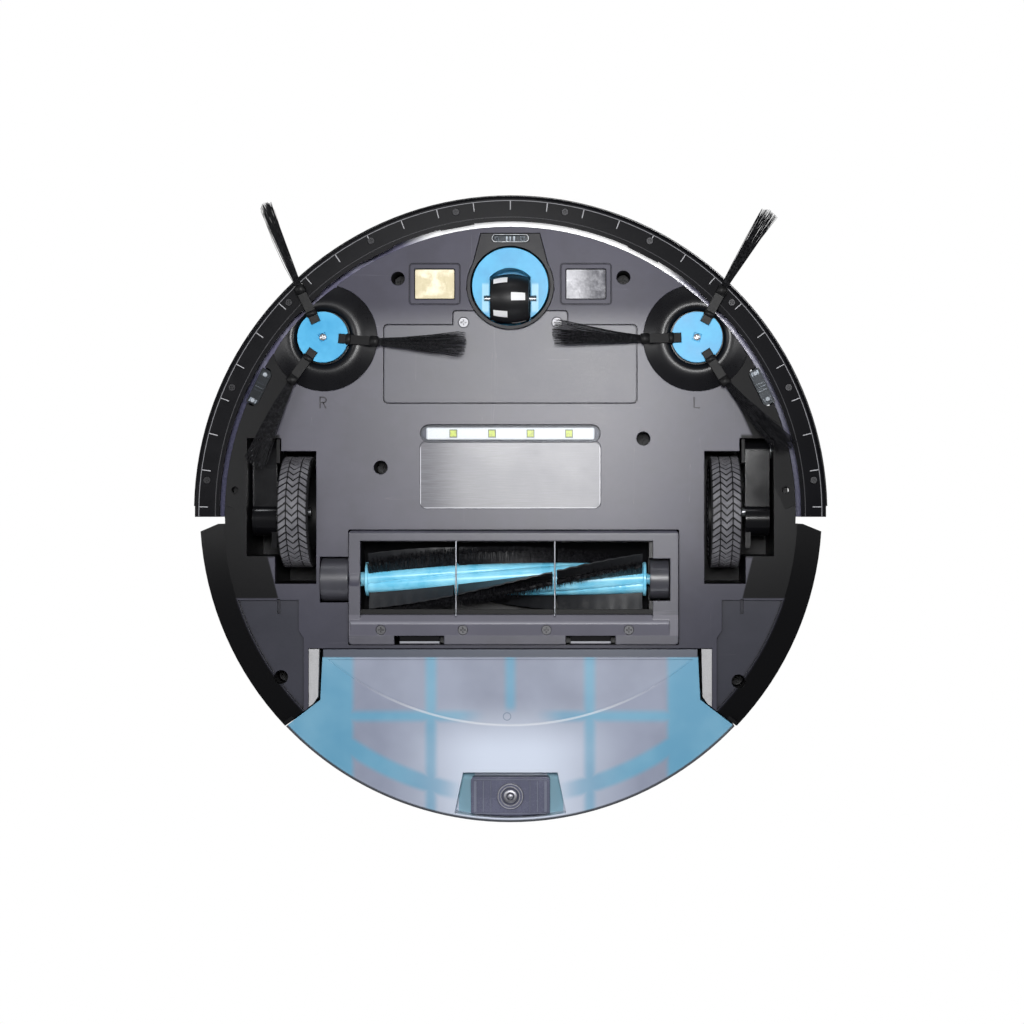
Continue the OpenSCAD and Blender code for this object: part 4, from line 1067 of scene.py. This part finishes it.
def roller_bristles():
    """Winding rows of bristles, with room left for the guard's wires."""
    paths = []
    for first in ROWS:
        x = ROLLER_X0 + 2.4
        while x < ROLLER_X1 - 2.4:
            for line in range(5):
                root = x + random.uniform(-0.18, 0.18)
                tilt = random.gauss(0, 0.7)
                if not (clear_of_wires(root) and clear_of_wires(root + tilt)):
                    continue
                a = row_angle(root, first)
                off = math.radians((line - 2) * 5.2 + random.uniform(-1.6, 1.6))
                fan = random.gauss(0, 0.035)
                top = random.uniform(17.3, 18.35)
                end_x = min(max(root + tilt, ROLLER_X0 + 1.8), ROLLER_X1 - 1.8)
                foot = on_roller(root, 7.8, a + off)
                halfway = on_roller((root + end_x) / 2, 13.0, a + off * 0.8 + fan * 0.4)
                paths.append([foot, halfway, on_roller(end_x, top, a + off * 0.7 + fan)])
            x += 0.5
    verts, faces = strands(np.array(paths), 0.16, 0.7)
    # the dense foot of each row, so that no gap shows between the tufts
    soup = Soup()
    for first in ROWS:
        for start, end in SPANS:
            rows = []
            for x in np.linspace(start, end, 46):
                a = row_angle(x, first)
                high = 15.0 + random.uniform(-0.8, 0.8)
                side = [(7.6, 0.19), (11.5, 0.13), (high, 0.075)]
                section = [(r, -d) for r, d in side] + [(high + 0.4, 0.0)] + side[::-1]
                rows.append([on_roller(x, r, a + d) for r, d in section])
            soup.bar(rows)
    soup.add(verts, faces)
    replaced = ["brush_bristles"]
    piece("roller_bristles", soup, "bristle", "main_brush", replaced, smooth=False)


def roller_blades():
    """Rubber blades with a thick foot, a thin lip and a slight wave."""
    side = [(7.6, 1.6), (9.6, 1.25), (12.5, 0.62), (16.8, 0.5), (17.7, 0.35)]
    section = [(r, -d) for r, d in side] + side[::-1]
    soup = Soup()
    for first in BLADES:
        for start, end in SPANS:
            rows = []
            for x in np.linspace(start, end, 60):
                a = row_angle(x, first)
                wave = 0.012 * math.sin(x * 0.9)
                rows.append([on_roller(x, r, a + d / r + wave * (r - 8) / 10) for r, d in section])
            soup.bar(rows)
    sharpen(piece("roller_blades", soup, "blade", "main_brush", ["brush_blades"]), 38)


roller_core()
roller_bristles()
roller_blades()


# ---------- side brushes ----------


def bundle(side, angle, spread, lean):
    """Paths of the bristles that fan out from one arm. A worn bundle leans away from its arm."""
    t = math.radians(angle)
    inner, longest = 27.5, 79.4  # from the brush's axis
    paths = []
    for _ in range(120):
        u = random.uniform(-1, 1)
        reach = longest - 5.5 * random.random() ** 2 - 1.5 * abs(u)
        end = u * spread + random.gauss(0, 0.35)
        end = max(-7.0, min(7.0, end)) + lean
        root = u * 1.5
        drop0, drop1 = random.uniform(4.9, 6.2), random.uniform(1.75, 3.1)
        bow = random.gauss(0, 0.35)
        points = []
        for s in (0.0, 0.33, 0.66, 1.0):
            out = inner + (reach - inner) * s
            lateral = root + (end - root) * s**1.25 + bow * math.sin(math.pi * s)
            px = out * math.cos(t) - lateral * math.sin(t)
            py = out * math.sin(t) + lateral * math.cos(t)
            points.append((side * (BRUSH_X + px), BRUSH_Y + py, drop0 + (drop1 - drop0) * s))
        paths.append(points)
    return paths


def sleeve(soup, side, angle, out0, out1, half, z0, z1):
    """An eight-sided block along an arm, a little slimmer at both ends."""
    t = math.radians(angle)
    cut = 0.7
    section = [(-half, z0 + cut), (-half + cut, z0), (half - cut, z0), (half, z0 + cut)]
    section += [(half, z1 - cut), (half - cut, z1), (-half + cut, z1), (-half, z1 - cut)]
    middle = (z0 + z1) / 2
    rows = []
    for out, slim in ((out0, 0.75), (out0 + 0.5, 1.0), (out1 - 0.5, 1.0), (out1, 0.75)):
        drop = (out - out0) * 0.1
        row = []
        for v, h in section:
            px = out * math.cos(t) - v * slim * math.sin(t)
            py = out * math.sin(t) + v * slim * math.cos(t)
            row.append((side * (BRUSH_X + px), BRUSH_Y + py, middle + (h - middle) * slim - drop))
        rows.append(row)
    soup.bar(rows, close_v=True)


def side_brush(side):
    """Bristle bundles, the sleeves that grip them, and the screw in the hub."""
    name = "left" if side > 0 else "right"
    body = f"side_brush_{name}"
    paths = []
    for angle, spread, lean in BUNDLES[side]:
        paths += bundle(side, angle, spread, lean)
    soup = Soup()
    soup.add(*strands(np.array(paths), 0.19, 0.55))
    replaced = [f"side_brush_bristles_{name}"]
    piece(f"side_bristles_{name}", soup, "bristle", body, replaced, smooth=False)
    soup = Soup()
    for angle, _, _ in BUNDLES[side]:
        sleeve(soup, side, angle, 26.0, 31.0, 2.9, 3.9, 7.0)
        sleeve(soup, side, angle, 12.6, 15.6, 3.1, 6.0, 8.1)
    sharpen(piece(f"side_sleeves_{name}", soup, "rubber", body), 50)
    soup = Soup()
    phillips(soup, side * BRUSH_X, BRUSH_Y, 7.45, 1.85, 0.9, 0.4)
    sharpen(piece(f"side_screw_{name}", soup, "steel", body), 35)


side_brush(1)
side_brush(-1)


# ---------- domes under the side brushes ----------


def domes():
    """Rounded rings round the side brush hubs, cut off where the bumper passes."""
    profile = [
        (14.7, 12.4), (14.75, 11.2), (15.3, 9.9), (16.4, 9.0), (17.9, 8.62), (19.5, 8.68), (21.5, 9.1),
        (23.5, 9.75), (25.5, 10.5), (27.3, 11.25), (28.6, 11.75), (29.25, 12.0), (29.3, 12.6),
    ]
    radii, heights = zip(*profile)
    limit = 156.6
    soup = Soup()
    for side in (-1, 1):
        rows = []
        for k in range(120):
            a = 2 * math.pi * k / 120
            dx, dy = math.cos(a), math.sin(a)
            along = BRUSH_X * dx + BRUSH_Y * dy
            reach = -along + math.sqrt(along**2 - BRUSH_X**2 - BRUSH_Y**2 + limit**2)
            row = []
            for r, z in [(0.0, 12.4)] + profile:
                if r > reach:
                    z = max(z, 12.6) if r > 29 else float(np.interp(reach, radii, heights))
                    r = reach
                row.append((side * (BRUSH_X + r * dx), BRUSH_Y + r * dy, z))
            rows.append(row if side > 0 else row[::-1])
        soup.grid(rows, close_u=True)
    sharpen(piece("domes", soup, "dome", "chassis", ["side_brush_domes"]), 50)


domes()


# ---------- springs ----------


def springs():
    """Coils of the wheels' torsion springs and of the bumper's springs."""
    soup = Soup()
    for side in (-1, 1):
        coil(soup, (side * 144.4, -34, 30), "x", 3.9, 0.42, 1.6, 0.9)
    piece("suspension_coils", soup, "steel", "chassis", ["suspension_springs"])
    soup = Soup()
    for side in (-1, 1):
        coil(soup, (side * 47.5, -155.3, 49.5), "y", 2.6, 0.38, 6, 10.0)
    piece("bumper_coils", soup, "steel", "bumper", ["bumper_springs"])


springs()


# ---------- small details of the underside ----------


def stroke(soup, x0, y0, points, width, low, high, closed=False):
    """A flat line through points given to the right of and above a place, as read from below."""
    n = len(points)
    left, right = [], []
    for i, (u, v) in enumerate(points):
        before = points[i - 1] if i or closed else points[i]
        after = points[(i + 1) % n] if i < n - 1 or closed else points[i]
        d = Vector((after[0] - before[0], after[1] - before[1])).normalized()
        nx, ny = -d.y * width / 2, d.x * width / 2
        left.append((x0 + u + nx, y0 - (v + ny)))
        right.append((x0 + u - nx, y0 - (v - ny)))
    for i in range(n if closed else n - 1):
        j = (i + 1) % n
        soup.prism([left[i], left[j], right[j], right[i]], low, high)


def side_letters():
    """The marks R and L beside the side brushes."""
    soup = Soup()
    low, high = PLATE_Z - 0.12, PLATE_Z + 0.05
    turn = np.linspace(0.2, math.pi - 0.2, 9)
    bowl = [(0.2, 3.0), (1.9, 3.0)]
    bowl += [(1.9 + 1.45 * math.sin(a), 1.55 + 1.45 * math.cos(a)) for a in turn]
    bowl += [(1.9, 0.1), (0.2, 0.1)]
    for line in ([(0, -3.1), (0, 3.25)], bowl, [(1.6, 0.1), (3.3, -3.1)]):
        stroke(soup, -104.6, LETTER_Y, line, 0.7, low, high)
    stroke(soup, 101.1, LETTER_Y, [(0, 3.1), (0, -2.75), (3.2, -2.75)], 0.7, low, high)
    piece("side_letters", soup, "mark", "chassis", smooth=False)


def turned_place(x, y, turn):
    """A function that takes places along and beside a turned window to X and Y."""
    t = math.radians(turn)
    along = Vector((math.cos(t), math.sin(t), 0))
    beside = Vector((-along.y, along.x, 0))

    def at(u, v):
        p = Vector((x, y, 0)) + along * u + beside * v
        return (p.x, p.y)

    return at


def cliff_eyes():
    """Lamps, eyes and dividers behind each cliff window, and a pale ring round the front window as a painted
    highlight on its edge.
    """
    lamps, black, outline = Soup(), Soup(), Soup()
    spots = [(0.0, -150.6, 0.0, 14.6, 20.4, 4.4)]
    for side in (-1, 1):
        spots.append((side * 138.5, -69.0, side * 64.0, 14.6, 22.0, 7.0))
    for x, y, turn, z, length, width in spots:
        at = turned_place(x, y, turn)
        # the cup behind the lens
        w, h = length / 2 - 0.6, width / 2 - 0.3
        black.prism([at(-w, -h), at(w, -h), at(w, h), at(-w, h)], z + 0.7, z + 1.5)
        # a lamp, three dividers and an eye: start, end, share of the half width, and height
        blocks = [(-w + 0.9, -w + 3.4, 0.7, 0.5), (-2.6, -1.5, 0.8, 0.1), (-0.6, 0.2, 0.8, 0.3)]
        blocks += [(1.5, 2.6, 0.85, 0.0), (w - 4.2, w - 1.6, 0.75, 0.2)]
        for u0, u1, share, low in blocks:
            v = h * share
            corners = [at(u0, -v), at(u1, -v + 0.3), at(u1 - 0.3, v), at(u0 + 0.2, v - 0.3)]
            lamps.prism(corners, z + low, z + 1.2)
        for u in (-w + 2.2, w - 2.9):
            p = at(u, 0)
            bulb = [(1.35, z + 0.9), (1.35, z - 0.1), (1.0, z - 0.8), (0.01, z - 1.1)]
            turned(lamps, bulb, (p[0], p[1], 0), "z", 20)
        # painted highlight: a pale ring along the edge of the front window
        if turn == 0:
            half = width / 2
            ring = [(math.cos(a), math.sin(a)) for a in np.linspace(0, 2 * math.pi, 40, endpoint=False)]
            rows = []
            for grow, level in ((0.0, 11.99), (0.0, 11.86), (-0.35, 11.86), (-0.35, 11.99)):
                row = []
                for c, sn in ring:
                    end = (length / 2 - half) * (1 if c > 0 else -1)
                    row.append((*at(c * (half + grow) + end, sn * (half + grow)), level))
                rows.append(row)
            outline.grid(rows, close_u=True, close_v=True)
    sharpen(piece("cliff_lamps", lamps, "lamp", "chassis"), 40)
    piece("cliff_cups", black, "black", "chassis", smooth=False)
    piece("cliff_edge_highlight", outline, "lamp", "chassis", smooth=False)


def latch_details():
    """Bright rings and the boss in the middle of the latch, and the ribs beside them."""
    middle = (0, LATCH_Y, 0)
    soup = Soup()
    for r in (6.75, 5.2):
        ring = [(r + 0.35, 12.75), (r + 0.2, 12.45), (r - 0.2, 12.45), (r - 0.35, 12.75)]
        turned(soup, ring, middle, "z", 64)
    collar = [(3.8, 12.75), (3.7, 12.2), (3.3, 11.95), (2.4, 11.9), (2.1, 12.2), (1.9, 12.6)]
    turned(soup, collar, middle, "z", 48)
    turned(soup, [(1.5, 12.6), (1.5, 12.1), (1.2, 11.9), (0.01, 11.85)], middle, "z", 32)
    sharpen(piece("latch_rings", soup, "ring", "dust_bin"), 35)
    soup = Soup()
    low, high = 13.45, 13.7
    for x0, x1 in ((-20.2, -18.6), (-15.2, -14.6), (-11.0, -10.6), (10.6, 11.0), (14.6, 15.2), (18.6, 20.2)):
        soup.prism([(x0, 148.2), (x1, 148.2), (x1, 165.4), (x0, 165.4)], low, high)
    for y0 in (147.2, 165.8):
        soup.prism([(-20.2, y0), (20.2, y0), (20.2, y0 + 0.5), (-20.2, y0 + 0.5)], low, high)
    piece("latch_ribs", soup, "rib", "dust_bin", smooth=False)


def top_details():
    """The power sign on the button, and a white ring round it."""
    soup = Soup()
    open_top = np.linspace(math.radians(32), math.radians(328), 28)
    arc = [(2.7 * math.sin(a), 2.7 * math.cos(a)) for a in open_top]
    low, high = 78.36, 78.4
    for line in ([(-u, v) for u, v in arc], [(0, 1.0), (0, 3.6)]):
        stroke(soup, 0, POWER_Y, line, 0.6, low, high)
    piece("power_sign", soup, "mark", "power_button", smooth=False)
    soup = Soup()
    ring = [(11.0, 77.3), (11.0, 77.42), (11.25, 77.5), (12.0, 77.5), (12.25, 77.42), (12.25, 77.3)]
    turned(soup, ring, (0, POWER_Y, 0), "z", 96)
    piece("status_ring", soup, "white", "chassis")


side_letters()
cliff_eyes()
latch_details()
top_details()


# ---------- floor, light and camera ----------


def floor():
    """A pale floor that is clear from below and glows in the distance, where no lamp reaches."""
    s = Shader("floor")
    speck = s.noise(60.0, 3.0, 0.6)
    base = s.mix(s.smooth(speck, 0.3, 0.7), (0.80, 0.80, 0.81), (0.84, 0.84, 0.845))
    far = s.math("MULTIPLY", s.smooth(s.radius(), 0.5, 2.4), 0.88)
    solid = s.principled(
        base_color=base, roughness=0.6, emission_color=(1.0, 1.0, 1.0), emission_strength=far,
    )
    clear = s.node("BsdfTransparent")
    back = s.node("NewGeometry").outputs["Backfacing"]
    material = s.done(s.node("MixShader", {0: back, 1: solid.outputs[0], 2: clear.outputs[0]}))
    mesh = bpy.data.meshes.new("floor")
    size = 6.0
    corners = [(-size, -size, 0), (size, -size, 0), (size, size, 0), (-size, size, 0)]
    mesh.from_pydata(corners, [], [(0, 1, 2, 3)])
    mesh.materials.append(material)
    obj = placed("floor", mesh)
    for ray in ("shadow", "diffuse", "glossy", "transmission"):
        setattr(obj, "visible_" + ray, False)


def lamp(name, place, aim, size, watts, colour=(1, 1, 1), size_y=None):
    """A soft box that the camera doesn't see."""
    data = bpy.data.lights.new(name, "AREA")
    data.shape = "RECTANGLE"
    data.size = size
    data.size_y = size_y or size
    data.energy = watts
    data.color = colour
    obj = placed(name, data)
    obj.location = place
    obj.rotation_euler = (Vector(aim) - Vector(place)).to_track_quat("-Z", "Y").to_euler()
    obj.visible_camera = False


def world():
    """White behind the object, and a dim, slightly cool light all round."""
    scene = bpy.context.scene
    scene.world = bpy.data.worlds.new("studio")
    scene.world.use_nodes = True
    tree = scene.world.node_tree
    tree.nodes.clear()
    out = tree.nodes.new("ShaderNodeOutputWorld")
    path = tree.nodes.new("ShaderNodeLightPath")
    mix = tree.nodes.new("ShaderNodeMixShader")
    tree.links.new(path.outputs["Is Camera Ray"], mix.inputs[0])
    # what lights the object, and what the camera sees behind it
    for slot, colour, strength in ((1, (0.93, 0.95, 1.0, 1), 0.10), (2, (1, 1, 1, 1), 1.0)):
        background = tree.nodes.new("ShaderNodeBackground")
        background.inputs[0].default_value = colour
        background.inputs[1].default_value = strength
        tree.links.new(background.outputs[0], mix.inputs[slot])
    tree.links.new(mix.outputs[0], out.inputs[0])
    scene.view_settings.view_transform = "Standard"


def camera():
    """Below the object, looking straight up, with the front at the top of the picture."""
    data = bpy.data.cameras.new("camera")
    data.sensor_width = 36.0
    data.lens = 70.0
    data.shift_x = -0.0871
    data.shift_y = 0.0
    data.clip_start = 0.01
    obj = placed("camera", data)
    obj.location = (0.0500, 0.0, -1.083)
    obj.rotation_euler = (math.pi, 0.0, 0.0)
    data.dof.use_dof = False
    bpy.context.scene.camera = obj


floor()
world()
# beside the camera, below the object
lamp("key", (0.04, -0.16, -1.10), (0.02, -0.07, 0.0), 0.22, 8.5)
lamp("left_box", (-0.80, -0.15, -1.0), (0, 0, 0.01), 0.28, 3.2, (1, 1, 1), 0.5)
lamp("right_box", (0.80, -0.15, -1.0), (0, 0, 0.01), 0.28, 3.2, (1, 1, 1), 0.5)
lamp("low_front", (-0.1, -1.1, -0.50), (0, 0, 0.01), 0.6, 1.6, (0.95, 0.97, 1.0), 0.12)
lamp("low_back", (0.1, 1.1, -0.45), (0, 0.1, 0.01), 0.6, 1.6, (0.93, 0.96, 1.0), 0.12)
lamp("left_strip", (-1.0, 0.0, -0.30), (0, 0, 0.02), 0.06, 1.6, (1, 1, 1), 0.9)
lamp("right_strip", (1.0, 0.0, -0.30), (0, 0, 0.02), 0.06, 0.8, (1, 1, 1), 0.9)
# above, for the other views
lamp("top_key", (-0.7, -0.8, 1.3), (0, 0, 0.04), 0.9, 22.0, (1.0, 0.99, 0.97))
lamp("top_fill", (0.9, 0.5, 1.0), (0, 0, 0.04), 0.8, 10.0, (0.95, 0.97, 1.0))
lamp("top_back", (0.1, 1.3, 0.8), (0, 0, 0.04), 0.9, 9.0, (1, 1, 1), 0.3)
camera()
